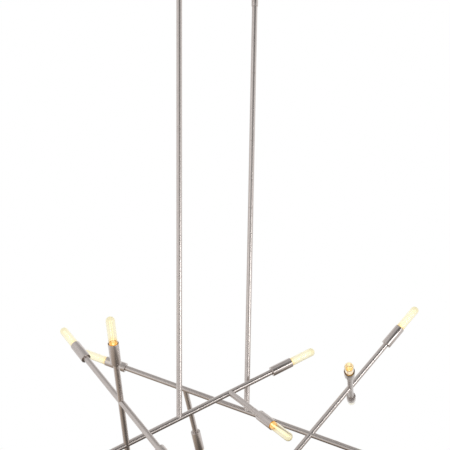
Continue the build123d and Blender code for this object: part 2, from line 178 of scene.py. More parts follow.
def tube_line(side, tube):
    """Centre line of a tube, between the backs of its cups or from its carrier's axis to its cup."""
    start, end, carrier = TUBES[side][tube]
    last = lamp_line(f"{side}_{end}")
    if start:
        return Line(lamp_line(f"{side}_{start}").start, last.start)
    return Line(last.crossing(tube_line(side, carrier)), last.start)


def stem_line(side):
    """Centre line of a stem, from its knuckle pin down to the axis of its bar."""
    pin = joint_place(f"{side}_swing")
    rod = "left_upper_rod" if side == "left" else "right_rods"
    down = Line(pin, surface_centre(rod))
    return Line(pin, down.crossing(tube_line(side, "bar")))


def hex_turn(node):
    """Turn of a node's hexagons: none with a corner on X, or half a side."""
    corners = [v.co for v in frame["nodes"][node].data.vertices if v.co.x > 0]
    wide = max(c.x for c in corners) - min(c.x for c in corners)
    deep = max(c.y for c in corners) - min(c.y for c in corners)
    return 0.0 if wide > deep else math.pi / 6


# ---------------------------------------------------------------- mesh helpers
def both(distance):
    """A distance on both sides of the middle."""
    return (-distance, distance)


def moved(bm, x, y, z, verts=None):
    """Moves a shape, or some vertices of it."""
    bmesh.ops.translate(bm, vec=(x, y, z), verts=bm.verts if verts is None else verts)


def turned(bm, angle, axis):
    """Turns a shape about an axis through the origin."""
    bmesh.ops.rotate(bm, matrix=Matrix.Rotation(angle, 3, axis), verts=bm.verts)


def rounded(bm, geom, size, steps, affect="EDGES", clamp=False):
    """Rounds edges or corners."""
    bmesh.ops.bevel(bm, geom=geom, offset=size, offset_type="OFFSET", affect=affect, segments=steps,
                    profile=0.5, material=-1, clamp_overlap=clamp)


def at_height(vert, height):
    """Whether a vertex lies at a height."""
    return abs(vert.co.z - height) < MERGE


def verts_of(geom):
    """The vertices in what an operator returns."""
    return [item for item in geom if isinstance(item, bmesh.types.BMVert)]


def lathe(corners, steps, closed=True):
    """A bmesh of (radius, height) corners turned about Z; a third value rounds its corner first."""
    bm = bmesh.new()
    verts = [bm.verts.new((radius, 0, height)) for radius, height, *_ in corners]
    for pair in zip(verts, verts[1:] + verts[:1] if closed else verts[1:]):
        bm.edges.new(pair)
    for vert, (_, _, *corner_round) in zip(verts, corners):
        if corner_round:
            rounded(bm, [vert], *corner_round[0], affect="VERTICES")
    bmesh.ops.spin(bm, geom=bm.verts[:] + bm.edges[:], cent=(0, 0, 0), axis=(0, 0, 1), dvec=(0, 0, 0),
                   angle=2 * math.pi, steps=steps, use_merge=True, use_duplicate=False)
    bmesh.ops.remove_doubles(bm, verts=bm.verts, dist=MERGE)
    bmesh.ops.recalc_face_normals(bm, faces=bm.faces)
    return bm


def put_in_place(bm, matrix, way=UP):
    """Puts a shape that is built up Z where a matrix says, and returns it.

    Each vertex keeps where it was before, for patterns that follow the piece, and the direction that the
    piece was turned and brushed about.
    """
    own = bm.verts.layers.float_vector.new(OWN_PLACE)
    axis = bm.verts.layers.float_vector.new(TURNED_ABOUT)
    for vert in bm.verts:
        vert[own] = vert.co
        vert[axis] = way
    bmesh.ops.transform(bm, matrix=matrix, verts=bm.verts)
    return bm


def stand_along(bm, start, way):
    """Puts a shape that is built up Z at a start, along a direction, and returns it."""
    return put_in_place(bm, Matrix.Translation(start) @ way.to_track_quat("Z", "Y").to_matrix().to_4x4(), way)


def brushed_flat(bm):
    """Gives a flat piece, built where it stands, the pattern of metal brushed along X, and returns it."""
    own = bm.verts.layers.float_vector.new(OWN_PLACE)
    axis = bm.verts.layers.float_vector.new(TURNED_ABOUT)
    for vert in bm.verts:
        vert[own] = (vert.co.x * FLAT_STRETCH, 0, vert.co.y + vert.co.z)
        vert[axis] = (0, 1, 1)
    return bm


def fill_round(bm, height, holes):
    """Closes the open edges at a height, apart from round (x, y, radius) holes; returns the holes' edges."""
    edges = [e for e in bm.edges if len(e.link_faces) < 2 and all(at_height(v, height) for v in e.verts)]
    rings = []
    for x, y, radius in holes:
        verts = bmesh.ops.create_circle(bm, cap_ends=False, segments=HOLE_STEPS, radius=radius,
                                        matrix=Matrix.Translation((x, y, height)))["verts"]
        rings.append(list({edge for vert in verts for edge in vert.link_edges}))
    bmesh.ops.triangle_fill(bm, use_beauty=True, edges=edges + [e for ring in rings for e in ring])
    return rings


def bore_between(bm, low, high, holes):
    """Closes a shape's open ends at two heights, with round holes from one to the other."""
    for first, second in zip(fill_round(bm, low, holes), fill_round(bm, high, holes)):
        bmesh.ops.bridge_loops(bm, edges=first + second)
    bmesh.ops.recalc_face_normals(bm, faces=bm.faces)


def rounded_outline(length, width, corner):
    """A flat face with rounded corners, round the origin."""
    bm = bmesh.new()
    verts = [bm.verts.new((x * length / 2, y * width / 2, 0))
             for x, y in ((1, 1), (-1, 1), (-1, -1), (1, -1))]
    bm.faces.new(verts)
    rounded(bm, verts, corner, CORNER_STEPS, affect="VERTICES")
    return bm


def hexagon(flats, x, height, turn):
    """A six-sided face of a width across its flats, at a place."""
    bm = bmesh.new()
    matrix = Matrix.Translation((x, 0, height)) @ Matrix.Rotation(turn, 4, "Z")
    bmesh.ops.create_circle(bm, cap_ends=True, segments=6, radius=flats / math.sqrt(3), matrix=matrix)
    return bm


def sunk(bm, low, edge_round=0):
    """Extrudes a face down to a height, rounds the lower edge and takes both end faces off."""
    top = bm.faces[:][0]
    start = top.verts[:][0].co.z
    lower = bmesh.ops.extrude_face_region(bm, geom=[top])["geom"]
    moved(bm, 0, 0, low - start, verts_of(lower))
    if edge_round:
        rim = [e for e in bm.edges if all(at_height(v, low) for v in e.verts)]
        rounded(bm, rim, edge_round, EDGE_STEPS)
    ends = [f for f in bm.faces if any(all(at_height(v, height) for v in f.verts) for height in (start, low))]
    bmesh.ops.delete(bm, geom=ends, context="FACES_ONLY")
    return bm


def ear(radius, reach, thickness, hole, middle):
    """A flat ear in the XZ plane: a round end about the origin with a hole, reaching up, at a middle Y."""
    bm = bmesh.new()
    verts = [bm.verts.new((x, y, 0)) for x, y in ((-radius, reach), (radius, reach),
                                                  (radius, -radius), (-radius, -radius))]
    bm.faces.new(verts)
    rounded(bm, verts[2:], radius * EAR_ROUND, CORNER_STEPS, affect="VERTICES")
    sunk(bm, -thickness)
    bore_between(bm, -thickness, 0, [(0, 0, hole)])
    edges = [e for e in bm.edges if e.calc_face_angle(0) > EAR_EDGE_TURN
             and all(v.co.xy.length > hole * EAR_EDGE_CLEAR for v in e.verts)]
    rounded(bm, edges, *BROKEN, clamp=True)
    moved(bm, 0, 0, thickness / 2)
    turned(bm, math.pi / 2, "X")
    moved(bm, 0, middle, 0)
    return bm


def cope(verts, way, carrier, radius, side):
    """Moves the end of a tube along itself on to the round of the tube that carries it."""
    along = carrier.way
    across = way - along * way.dot(along)
    for vert in verts:
        offset = vert.co - carrier.start
        offset = offset - along * offset.dot(along)
        a = across.dot(across)
        b = 2 * offset.dot(across)
        c = offset.dot(offset) - radius * radius
        root = math.sqrt(max(b * b - 4 * a * c, 0.0))
        vert.co += way * ((-b + side * root) / (2 * a))


def joined(shapes):
    """One bmesh of several, which are freed."""
    whole = bmesh.new()
    for shape in shapes:
        mesh = bpy.data.meshes.new("part_of_piece")
        shape.to_mesh(mesh)
        shape.free()
        whole.from_mesh(mesh)
        bpy.data.meshes.remove(mesh)
    return whole


def finish_piece(bm, node, finish=None, smooth=SMOOTH_ANGLE):
    """Makes a shape the look of a CAD node, smooth up to an angle, on the node's body and in its slot."""
    for face in bm.faces:
        face.smooth = True
    for edge in bm.edges:
        edge.smooth = len(edge.link_faces) == 2 and edge.calc_face_angle() < math.radians(smooth)
    mesh = bpy.data.meshes.new(f"{node}_look")
    bm.to_mesh(mesh)
    bm.free()
    mesh.materials.append(finish_of(finish or SLOTS[node]))
    piece = bpy.data.objects.new(f"{node}_look", mesh)
    bpy.context.scene.collection.objects.link(piece)
    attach(piece, BODIES[node])
    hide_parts(node)


# ---------------------------------------------------------------- sizes and colours
def length_of(name, text, size):
    """A length in metres that a user can change."""
    return FloatProperty(name=name, description=text, default=size, min=0.0, precision=5,
                         subtype="DISTANCE", unit="LENGTH")


def colour_of(name, text, colour):
    """A colour that a user can change."""
    return FloatVectorProperty(name=name, description=text, default=colour, min=0.0, max=1.0, size=3,
                               subtype="COLOR")


def share_of(name, text, amount, top=1.0):
    """A plain number that a user can change."""
    return FloatProperty(name=name, description=text, default=amount, min=0.0, max=top)


def count_of(name, text, count, least=8):
    """A whole number that a user can change."""
    return IntProperty(name=name, description=text, default=count, min=least)


class TubeSizes(bpy.types.PropertyGroup):
    """Sizes of the tubes and rods."""
    radius: length_of("Radius", "Outside radius of every tube", 0.00635)
    wall: length_of("Wall", "Wall of every tube", 0.001)
    insert: length_of("Insert", "How far a tube goes into the back of its cup", 0.007)
    cope_gap: length_of("Cope gap", "Gap under a coped tube end", 0.00002)
    rod_bevel: length_of("Rod bevel", "Bevel of the rod ends that meet at a joint", 0.00035)
    seam_gap: length_of("Seam gap", "Gap between two rods screwed end to end", 0.00005)
    stem_top: length_of("Stem top", "From the knuckle pin down to the first rod", 0.028)
    short_rod: length_of("Short rod", "Length of the right stem's upper rods", 0.1524)
    long_rod: length_of("Long rod", "Length of the left stem's upper rod", 0.6096)
    short_rods: count_of("Short rods", "Upper rods of the right stem", 4, least=1)
    steps: count_of("Steps", "Sides of a tube", 40)


class CupSizes(bpy.types.PropertyGroup):
    """Sizes of the socket cups."""
    radius: length_of("Radius", "Outside radius of a cup", 0.0111)
    wall: length_of("Wall", "Wall of a cup", 0.001)
    length: length_of("Length", "Length of a cup", 0.0508)
    floor: length_of("Floor", "Thickness of a cup's back", 0.008)
    wire_hole: length_of("Wire hole", "Radius of the hole in a cup's floor", 0.00435)
    seat_gap: length_of("Seat gap", "Gap round the tube in a cup's back", 0.00005)
    back_round: length_of("Back round", "Round of a cup's back edge", 0.0008)
    lip_round: length_of("Lip round", "Round of a cup's lip", 0.0003)
    steps: count_of("Steps", "Sides of a cup", 56)


class BulbSizes(bpy.types.PropertyGroup):
    """Sizes of the tubular bulbs."""
    base: length_of("Base", "From the cup's back to the bottom of the glass", 0.0333)
    radius: length_of("Radius", "Outside radius of the glass", 0.00944)
    neck: length_of("Neck", "Radius of the neck in the screw cap's top", 0.0062)
    neck_height: length_of("Neck height", "Height of the neck", 0.007)
    shoulder: length_of("Shoulder", "Height over which the neck widens", 0.006)
    wall: length_of("Wall", "Thickness of the glass", 0.0007)
    length: length_of("Length", "Length of the glass", 0.08049)
    mount: length_of("Mount", "Radius of the glass mount's foot", 0.0028)
    mount_top: length_of("Mount top", "Radius of the glass mount's stalk", 0.00168)
    mount_foot: length_of("Mount foot", "Height of the glass mount's foot", 0.004)
    mount_height: length_of("Mount height", "Height of the glass mount", 0.015)
    mount_gap: length_of("Mount gap", "Gap under the glass mount", 0.0001)
    strip: length_of("Strip", "Width of a filament strip", 0.0016)
    strip_thickness: length_of("Strip thickness", "Thickness of a filament strip", 0.0009)
    strip_length: length_of("Strip length", "Length of a filament strip", 0.052)
    strip_spread: length_of("Strip spread", "Distance between the two strips", 0.0038)
    lead: length_of("Lead", "Length of the lead wires under the strips", 0.003)
    wire: length_of("Wire", "Radius of a lead wire", 0.0003)
    wire_sunk: length_of("Wire sunk", "How far a lead goes into the mount and its strip", 0.002)
    bridge_gap: length_of("Bridge gap", "From the strips up to the wire across them", 0.0002)
    steps: count_of("Steps", "Sides of a bulb", 48)


class CanopySizes(bpy.types.PropertyGroup):
    """Sizes of the canopy and of what holds it."""
    length: length_of("Length", "Length of the canopy", 0.3048)
    width: length_of("Width", "Width of the canopy", 0.1143)
    depth: length_of("Depth", "Depth of the canopy", 0.0254)
    wall: length_of("Wall", "Wall of the canopy", 0.0015)
    corner: length_of("Corner", "Radius of the canopy's corners", 0.019)
    edge: length_of("Edge", "Round of the canopy's lower edge", 0.004)
    hub_hole: length_of("Hub hole", "Radius of a hole for a swivel hub", 0.0068)
    stud_hole: length_of("Stud hole", "Radius of a hole for a stud", 0.0024)
    strap_length: length_of("Strap length", "Length of the mounting strap", 0.165)
    strap_width: length_of("Strap width", "Width of the mounting strap", 0.0254)
    strap_thickness: length_of("Strap thickness", "Thickness of the mounting strap", 0.0025)
    strap_corner: length_of("Strap corner", "Radius of the strap's corners", 0.005)
    wire_hole: length_of("Wire hole", "Radius of the strap's wire hole", 0.008)
    box_hole: length_of("Box hole", "Radius of a hole for a box screw", 0.0024)
    box_place: length_of("Box place", "From the middle to a box screw", 0.04445)
    ground_hole: length_of("Ground hole", "Radius of the ground screw's hole", 0.00195)
    ground_place: length_of("Ground place", "From the middle to the ground screw", 0.027)
    stud_place: length_of("Stud place", "From the middle to a stud", 0.0635)
    stud_radius: length_of("Stud radius", "Radius over a stud's thread", 0.002)
    stud_root: length_of("Stud root", "Radius at the root of a stud's thread", 0.00168)
    stud_pitch: length_of("Stud pitch", "Pitch of the stud's thread", 0.0008)
    stud_end: length_of("Stud end", "From the ceiling down to a stud's end", 0.0304)
    nut_flats: length_of("Nut flats", "Cap nut across the flats", 0.010)
    nut_height: length_of("Nut height", "Height of a cap nut", 0.0085)
    nut_round: length_of("Nut round", "Round of a cap nut's lower edge", 0.0025)
    nut_bore: length_of("Nut bore", "Depth of a cap nut's blind bore", 0.0053)


class SwivelSizes(bpy.types.PropertyGroup):
    """Sizes of the swivels; heights are below the ceiling."""
    place: length_of("Place", "From the canopy's middle to a swivel", 0.0935)
    neck: length_of("Neck", "Radius of a hub's neck", 0.0064)
    neck_top: length_of("Neck top", "Top of a hub's neck", 0.0154)
    flange: length_of("Flange", "Radius of a hub's flange", 0.012)
    flange_foot: length_of("Flange foot", "Radius at the flange's foot", 0.009816)
    flange_low: length_of("Flange low", "Foot of a hub's flange", 0.0314)
    nut_flats: length_of("Nut flats", "Lock nut across the flats", 0.0175)
    nut_low: length_of("Nut low", "Foot of a lock nut", 0.0239)
    nut_top: length_of("Nut top", "Top of a lock nut", 0.0199)
    nut_hole: length_of("Nut hole", "Radius of a lock nut's hole", 0.00645)
    journal: length_of("Journal", "Radius of the turning journal", 0.0046)
    gap: length_of("Gap", "Gap round a journal, a pin or a thread", 0.00005)
    wireway: length_of("Wireway", "Radius of the wire's way through a yoke", 0.003)
    keeper: length_of("Keeper", "Radius of a yoke's keeper ring", 0.006)
    keeper_low: length_of("Keeper low", "Foot of the keeper ring", 0.0151)
    keeper_top: length_of("Keeper top", "Top of the keeper ring", 0.0133)
    disc: length_of("Disc", "Radius of a yoke's disc", 0.0095)
    disc_top: length_of("Disc top", "Top of the disc", 0.0317)
    disc_low: length_of("Disc low", "Foot of the disc", 0.0347)
    pin_drop: length_of("Pin drop", "From the ceiling down to a knuckle pin", 0.044)
    pin_radius: length_of("Pin radius", "Radius of a knuckle pin", 0.002)
    pin_head: length_of("Pin head", "Radius of a knuckle pin's head", 0.0032)
    pin_head_height: length_of("Pin head height", "Height of the head", 0.0014)
    pin_tail: length_of("Pin tail", "Pin end behind the ears", 0.0008)
    ear_radius: length_of("Ear radius", "Radius of an ear's round end", 0.006)
    ear_inner: length_of("Ear inner", "From the middle to an ear", 0.0028)
    ear_thickness: length_of("Ear thickness", "Thickness of an ear", 0.0026)
    tongue_radius: length_of("Tongue radius", "Radius of the tongue's round end", 0.005)
    tongue_thickness: length_of("Tongue thickness", "Thickness of the tongue", 0.005)
    weld: length_of("Weld", "How far an ear or the tongue goes into what carries it", 0.0004)
    collar: length_of("Collar", "Radius of a stem's collar", 0.0076)
    collar_bore: length_of("Collar bore", "Radius of a collar's bore", 0.00535)
    collar_top: length_of("Collar top", "From the pin down to the collar", 0.0085)
    collar_turned: length_of("Collar turned", "Turned ring round the collar's top", 0.0014)
    collar_web: length_of("Collar web", "Thickness of the collar's top", 0.004)
    collar_foot: length_of("Collar foot", "From the pin down to the collar's foot", 0.028)
    collar_wire: length_of("Collar wire", "Radius of a wire hole in the collar", 0.0012)
    collar_wire_place: length_of("Collar wire place", "From the axis to a wire hole", 0.004)
    steps: count_of("Steps", "Sides of a round piece", 48)


class Finishes(bpy.types.PropertyGroup):
    """Colours of the finishes."""
    nickel: colour_of("Nickel", "Satin nickel", (0.640, 0.583, 0.555))
    nickel_roughness: share_of("Nickel roughness", "Roughness of the satin nickel", 0.24)
    # painted shade: a dark brown painted inside the cups, standing in for the shade down in them
    cup_inside_shade: colour_of("Cup inside", "Dark inside of the cups", (0.16, 0.09, 0.04))
    zinc: colour_of("Zinc", "Zinc plated steel", (0.58, 0.60, 0.62))
    green: colour_of("Green", "Dyed ground screw", (0.04, 0.20, 0.06))
    phenolic: colour_of("Phenolic", "Moulded lampholders", (0.035, 0.030, 0.026))
    brass: colour_of("Brass", "Screw caps", (0.62, 0.44, 0.20))
    glass: colour_of("Glass", "Clear glass lit from inside", (0.985, 0.955, 0.82))
    glow: colour_of("Glow", "Light in the glass", (1.0, 0.86, 0.55))
    mouth_glow: colour_of("Mouth glow", "Light on the far glass at the cup's mouth", (0.95, 0.60, 0.20))
    # painted reflection: amber of the lit cup painted on the far wall of the glass down in the cup
    mouth_amber_reflection: colour_of("Mouth amber", "Far wall of the glass down in the cup", (0.97, 0.78, 0.40))
    # painted shade: a dark rim painted on the glass where it goes into the cup's mouth
    mouth_rim_shade: colour_of("Mouth rim", "Rim of the glass at the cup's mouth", (0.30, 0.17, 0.06))
    filament: colour_of("Filament", "Lit filament strips", (1.0, 0.82, 0.48))
    filament_dots: colour_of("Filament dots", "Brighter dots on the strips", (1.0, 0.95, 0.78))


class StudioSettings(bpy.types.PropertyGroup):
    """Camera, light and floor."""
    camera_place: FloatVectorProperty(name="Camera place", description="Where the camera stands", size=3,
                                      default=(-0.90675, -1.8922, -0.56846), subtype="TRANSLATION",
                                      unit="LENGTH")
    camera_turn: FloatProperty(name="Camera turn", description="Heading of the level camera",
                               default=math.radians(-26.04), subtype="ANGLE", unit="ROTATION")
    lens: FloatProperty(name="Lens", description="Focal length", default=75.36, unit="CAMERA")
    floor_drop: length_of("Floor drop", "From the ceiling down to the floor", 2.4)
    floor_size: length_of("Floor size", "Side of the floor", 14.0)
    ambient: share_of("Ambient", "Level of the plain light all round", 0.75, top=2.0)


# ---------------------------------------------------------------- node helpers
def link(tree, source, target):
    """Joins an output to an input."""
    tree.links.new(source, target)


def fed(tree, node, values):
    """Links or sets a node's inputs, by name or number, and returns the node."""
    for key, value in values.items():
        if isinstance(value, bpy.types.NodeSocket):
            link(tree, value, node.inputs[key])
        else:
            node.inputs[key].default_value = value
    return node


def new_material(name):
    """A new material, its node tree and its Principled shader."""
    material = bpy.data.materials.new(name)
    material.use_nodes = True
    return material, material.node_tree, material.node_tree.nodes["Principled BSDF"]


def maths(tree, operation, *values):
    """A Math node of numbers or sockets; returns its output."""
    node = tree.nodes.new("ShaderNodeMath")
    node.operation = operation
    return fed(tree, node, dict(enumerate(values))).outputs[0]


def ranged(tree, value, low, high, to_low, to_high):
    """A smooth Map Range node; returns its output."""
    node = tree.nodes.new("ShaderNodeMapRange")
    node.interpolation_type = "SMOOTHSTEP"
    return fed(tree, node, {"Value": value, "From Min": low, "From Max": high, "To Min": to_low,
                            "To Max": to_high}).outputs["Result"]


def noise(tree, vector, scale, detail, stretch=None):
    """A noise texture on a vector, which may be stretched; returns its value."""
    if stretch:
        mapping = tree.nodes.new("ShaderNodeMapping")
        vector = fed(tree, mapping, {"Scale": stretch, "Vector": vector}).outputs["Vector"]
    node = tree.nodes.new("ShaderNodeTexNoise")
    return fed(tree, node, {"Scale": scale, "Detail": detail, "Vector": vector}).outputs["Fac"]


def colour_mix(tree, factor, first, second):
    """A Mix node of two colours, each a tuple or a socket; returns its output."""
    node = tree.nodes.new("ShaderNodeMix")
    node.data_type = "RGBA"
    first, second = ((*c, 1) if isinstance(c, tuple) else c for c in (first, second))
    return fed(tree, node, {"Factor": factor, "A": first, "B": second}).outputs["Result"]


def shader_mix(tree, factor, first, second):
    """A Mix Shader node of two shaders; returns its output."""
    return fed(tree, tree.nodes.new("ShaderNodeMixShader"), {0: factor, 1: first, 2: second}).outputs[0]


def attribute(tree, name):
    """The vector of an attribute."""
    node = tree.nodes.new("ShaderNodeAttribute")
    node.attribute_name = name
    return node.outputs["Vector"]


def place_vector(tree, own):
    """The piece's own place attribute, or its object coordinates."""
    return attribute(tree, OWN_PLACE) if own else tree.nodes.new("ShaderNodeTexCoord").outputs["Object"]


def parts_of(tree, vector):
    """The X, Y and Z of a vector."""
    return fed(tree, tree.nodes.new("ShaderNodeSeparateXYZ"), {0: vector}).outputs


def bumped(tree, shader, height, strength, depth):
    """Bumps the surface of a shader by a height."""
    bump = tree.nodes.new("ShaderNodeBump")
    fed(tree, bump, {"Strength": strength, "Distance": depth, "Height": height})
    link(tree, bump.outputs["Normal"], shader.inputs["Normal"])


# ---------------------------------------------------------------- materials
# heights, from the cup's mouth or from the bulb's tip, between which a lit bulb's painted reflection, painted
# shade and glow change
AMBER_REFLECTION_FADES = (-0.002, 0.013)
RIM_SHADE_FADES = (0.0006, 0.0016)
GLOW_FADES = (-0.006, 0.005)
TIP_SHADE_FADES = (-0.018, -0.002)
# from the wall of a cup's bore outwards, the painted shade inside the cup ends between these
CUP_SHADE_ENDS = (0.0003, 0.0007)
# how dark the glass is painted where it is seen on edge and at its tip, how little of its light shows
# elsewhere, and how strong it is
GLASS_EDGE_SHADE = 0.93
GLOW_DIM = 0.03
GLOW_STRENGTH = 0.5
FILAMENT_STRENGTH = 1.1
# depths of the fine relief of brushed metal, moulded plastic and drawn glass
BRUSHED_DEPTH = 0.000002
MOULDED_DEPTH = 0.00005
GLASS_DEPTH = 0.00002
# how the reflections of turned and brushed metal are drawn out
DRAWN_OUT = 0.75


def grain_group():
    """Node group of a brushed and slightly worn surface: shade, roughness and height."""
    group = bpy.data.node_groups.new("brushed_surface", "ShaderNodeTree")
    for name, kind, default in (("Vector", "NodeSocketVector", None), ("Color", "NodeSocketColor", None),
                                ("Roughness", "NodeSocketFloat", 0.3), ("Grain", "NodeSocketFloat", 0.5),
                                ("Tarnish", "NodeSocketFloat", 0.5)):
        socket = group.interface.new_socket(name=name, in_out="INPUT", socket_type=kind)
        if default is not None:
            socket.default_value = default
    for name, kind in (("Color", "NodeSocketColor"), ("Roughness", "NodeSocketFloat"),
                       ("Height", "NodeSocketFloat")):
        group.interface.new_socket(name=name, in_out="OUTPUT", socket_type=kind)
    given = group.nodes.new("NodeGroupInput").outputs
    lines = noise(group, given["Vector"], 1.0, 3, stretch=(160, 160, 2600))
    patches = noise(group, given["Vector"], 42.0, 4)
    specks = noise(group, given["Vector"], 900.0, 2)
    handled = ranged(group, patches, 0.45, 0.72, 0.0, 1.0)
    speck = ranged(group, specks, 0.66, 0.78, 0.0, 1.0)
    # the brushed lines change the shade by a few percent, and tarnish and specks darken it
    line_shade = maths(group, "MULTIPLY", maths(group, "SUBTRACT", lines, 0.5), given["Grain"])
    tarnish = maths(group, "MULTIPLY", handled, given["Tarnish"])
    shade = maths(group, "ADD", maths(group, "MULTIPLY_ADD", line_shade, 0.30, 1.0),
                  maths(group, "MULTIPLY", tarnish, -0.10))
    shade = maths(group, "SUBTRACT", shade, maths(group, "MULTIPLY", speck, 0.05))
    scale = group.nodes.new("ShaderNodeVectorMath")
    scale.operation = "SCALE"
    fed(group, scale, {0: given["Color"], "Scale": shade})
    rough = maths(group, "MULTIPLY_ADD", line_shade, 0.16, given["Roughness"])
    rough = maths(group, "MULTIPLY_ADD", tarnish, 0.12, rough)
    height = maths(group, "MULTIPLY", lines, given["Grain"])
    fed(group, group.nodes.new("NodeGroupOutput"),
        {"Color": scale.outputs["Vector"], "Roughness": rough, "Height": height})


def metal(name, colour, roughness, grain, tarnish, own=True):
    """A brushed metal; on a piece with its own pattern, reflections are drawn out along its axis."""
    material, tree, shader = new_material(name)
    surface = tree.nodes.new("ShaderNodeGroup")
    surface.node_tree = bpy.data.node_groups["brushed_surface"]
    fed(tree, surface, {"Vector": place_vector(tree, own), "Color": (*colour, 1), "Roughness": roughness,
                        "Grain": grain, "Tarnish": tarnish})
    fed(tree, shader, {"Base Color": surface.outputs["Color"], "Roughness": surface.outputs["Roughness"],
                       "Metallic": 1.0})
    bumped(tree, shader, surface.outputs["Height"], 0.35, BRUSHED_DEPTH)
    if own:
        turn = tree.nodes.new("ShaderNodeVectorTransform")
        turn.vector_type, turn.convert_from, turn.convert_to = "VECTOR", "OBJECT", "WORLD"
        fed(tree, turn, {0: attribute(tree, TURNED_ABOUT)})
        fed(tree, shader, {"Tangent": turn.outputs[0], "Anisotropic": DRAWN_OUT})
    return material


def cup_metal_with_painted_shade(name, colour, roughness, inside, cups):
    """The brushed metal of a cup, with painted shade in dark brown on its inside wall and on the inner half
    of its lip.
    """
    material = metal(name, colour, roughness, grain=0.6, tarnish=0.5)
    tree = material.node_tree
    shader = tree.nodes["Principled BSDF"]
    outside = shader.inputs["Base Color"].links[0].from_socket
    place = parts_of(tree, place_vector(tree, True))
    across = maths(tree, "MULTIPLY", place["X"], place["X"])
    across = maths(tree, "MULTIPLY_ADD", place["Y"], place["Y"], across)
    # painted shade: dark brown on the bore's wall above the floor and on the inner half of the lip, where the
    # cup lies in shade
    bore = cups.radius - cups.wall
    ends = (bore + distance for distance in CUP_SHADE_ENDS)
    shade_mask = ranged(tree, maths(tree, "SQRT", across), *ends, 1.0, 0.0)
    above_floor = ranged(tree, place["Z"], cups.floor, cups.floor * 2, 0.0, 1.0)
    shade_mask = maths(tree, "MULTIPLY", shade_mask, above_floor)
    link(tree, colour_mix(tree, shade_mask, outside, inside), shader.inputs["Base Color"])
    return material


def moulded(name, colour, roughness):
    """A matt moulded plastic with a fine skin."""
    material, tree, shader = new_material(name)
    vector = place_vector(tree, False)
    skin = noise(tree, vector, 1400.0, 3)
    cloud = ranged(tree, noise(tree, vector, 60.0, 3), 0.35, 0.7, 0.0, 1.0)
    fed(tree, shader, {
        "Base Color": colour_mix(tree, cloud, colour, tuple(c * 1.8 for c in colour)),
        "Roughness": ranged(tree, skin, 0.3, 0.7, roughness - 0.06, roughness + 0.06),
    })
    bumped(tree, shader, skin, 0.3, MOULDED_DEPTH)
    return material


def lit_glass(name, finishes, mouth, tip):
    """Clear glass lit from inside, with a painted amber reflection on its far wall down in the cup, painted
    shade as a dark rim at the mouth, and painted shade at its tip and on its outline.
    """
    material, tree, shader = new_material(name)
    vector = place_vector(tree, True)
    height = parts_of(tree, vector)["Z"]
    rays = tree.nodes.new("ShaderNodeLightPath").outputs
    seen, far_wall = rays["Is Camera Ray"], rays["Is Transmission Ray"]

    def fading(origin, fades, low, high):
        """A value that goes from low to high over a band of heights above an origin."""
        return ranged(tree, height, origin + fades[0], origin + fades[1], low, high)

    # painted shade: the glass is painted deeper in colour at its tip and along its outline, where it is seen
    # on edge
    facing = tree.nodes.new("ShaderNodeLayerWeight").outputs["Facing"]
    outline = maths(tree, "MULTIPLY", ranged(tree, facing, 0.45, 0.95, 0.0, 0.7), seen)
    edge_shade = maths(tree, "MAXIMUM", outline, fading(tip, TIP_SHADE_FADES, 0.0, 0.5))
    colour = tuple(finishes.glass)
    tint = colour_mix(tree, edge_shade, colour, tuple(c * c * GLASS_EDGE_SHADE for c in colour))
    # painted reflection: the far wall of the glass down in the cup is tinted amber, as the lit inside of the
    # cup would mirror in it
    amber = maths(tree, "MULTIPLY", fading(mouth, AMBER_REFLECTION_FADES, 1.0, 0.0), far_wall)
    tint = colour_mix(tree, amber, tint, tuple(finishes.mouth_amber_reflection))
    # painted shade: a dark rim painted on the glass at the cup's mouth
    rim = maths(tree, "MULTIPLY", fading(mouth, RIM_SHADE_FADES, 1.0, 0.0), seen)
    tint = colour_mix(tree, rim, tint, tuple(finishes.mouth_rim_shade))
    lit = maths(tree, "MULTIPLY", fading(mouth, GLOW_FADES, 1.0, 0.0), far_wall)
    dim = tuple(c * GLOW_DIM for c in finishes.glow)
    streaks = noise(tree, vector, 1.0, 2, stretch=(300, 300, 60))
    fed(tree, shader, {
        "Base Color": tint,
        "Emission Color": colour_mix(tree, lit, dim, tuple(finishes.mouth_glow)),
        "Emission Strength": GLOW_STRENGTH,
        "Transmission Weight": 1.0,
        "IOR": 1.45,
        "Roughness": ranged(tree, streaks, 0.35, 0.8, 0.0, 0.03),
    })
    bumped(tree, shader, streaks, 0.1, GLASS_DEPTH)
    return material


def lit_strip(name, colour, dot_colour):
    """The lit phosphor of a filament strip, with brighter dots along it."""
    material, tree, shader = new_material(name)
    dots = noise(tree, place_vector(tree, True), 1.0, 1, stretch=(300, 300, 900))
    dots = ranged(tree, dots, 0.4, 0.65, 0.0, 1.0)
    shade = colour_mix(tree, dots, tuple(c * 0.8 for c in colour), dot_colour)
    fed(tree, shader, {"Base Color": shade, "Emission Color": shade, "Emission Strength": FILAMENT_STRENGTH,
                       "Roughness": 0.5})
    return material


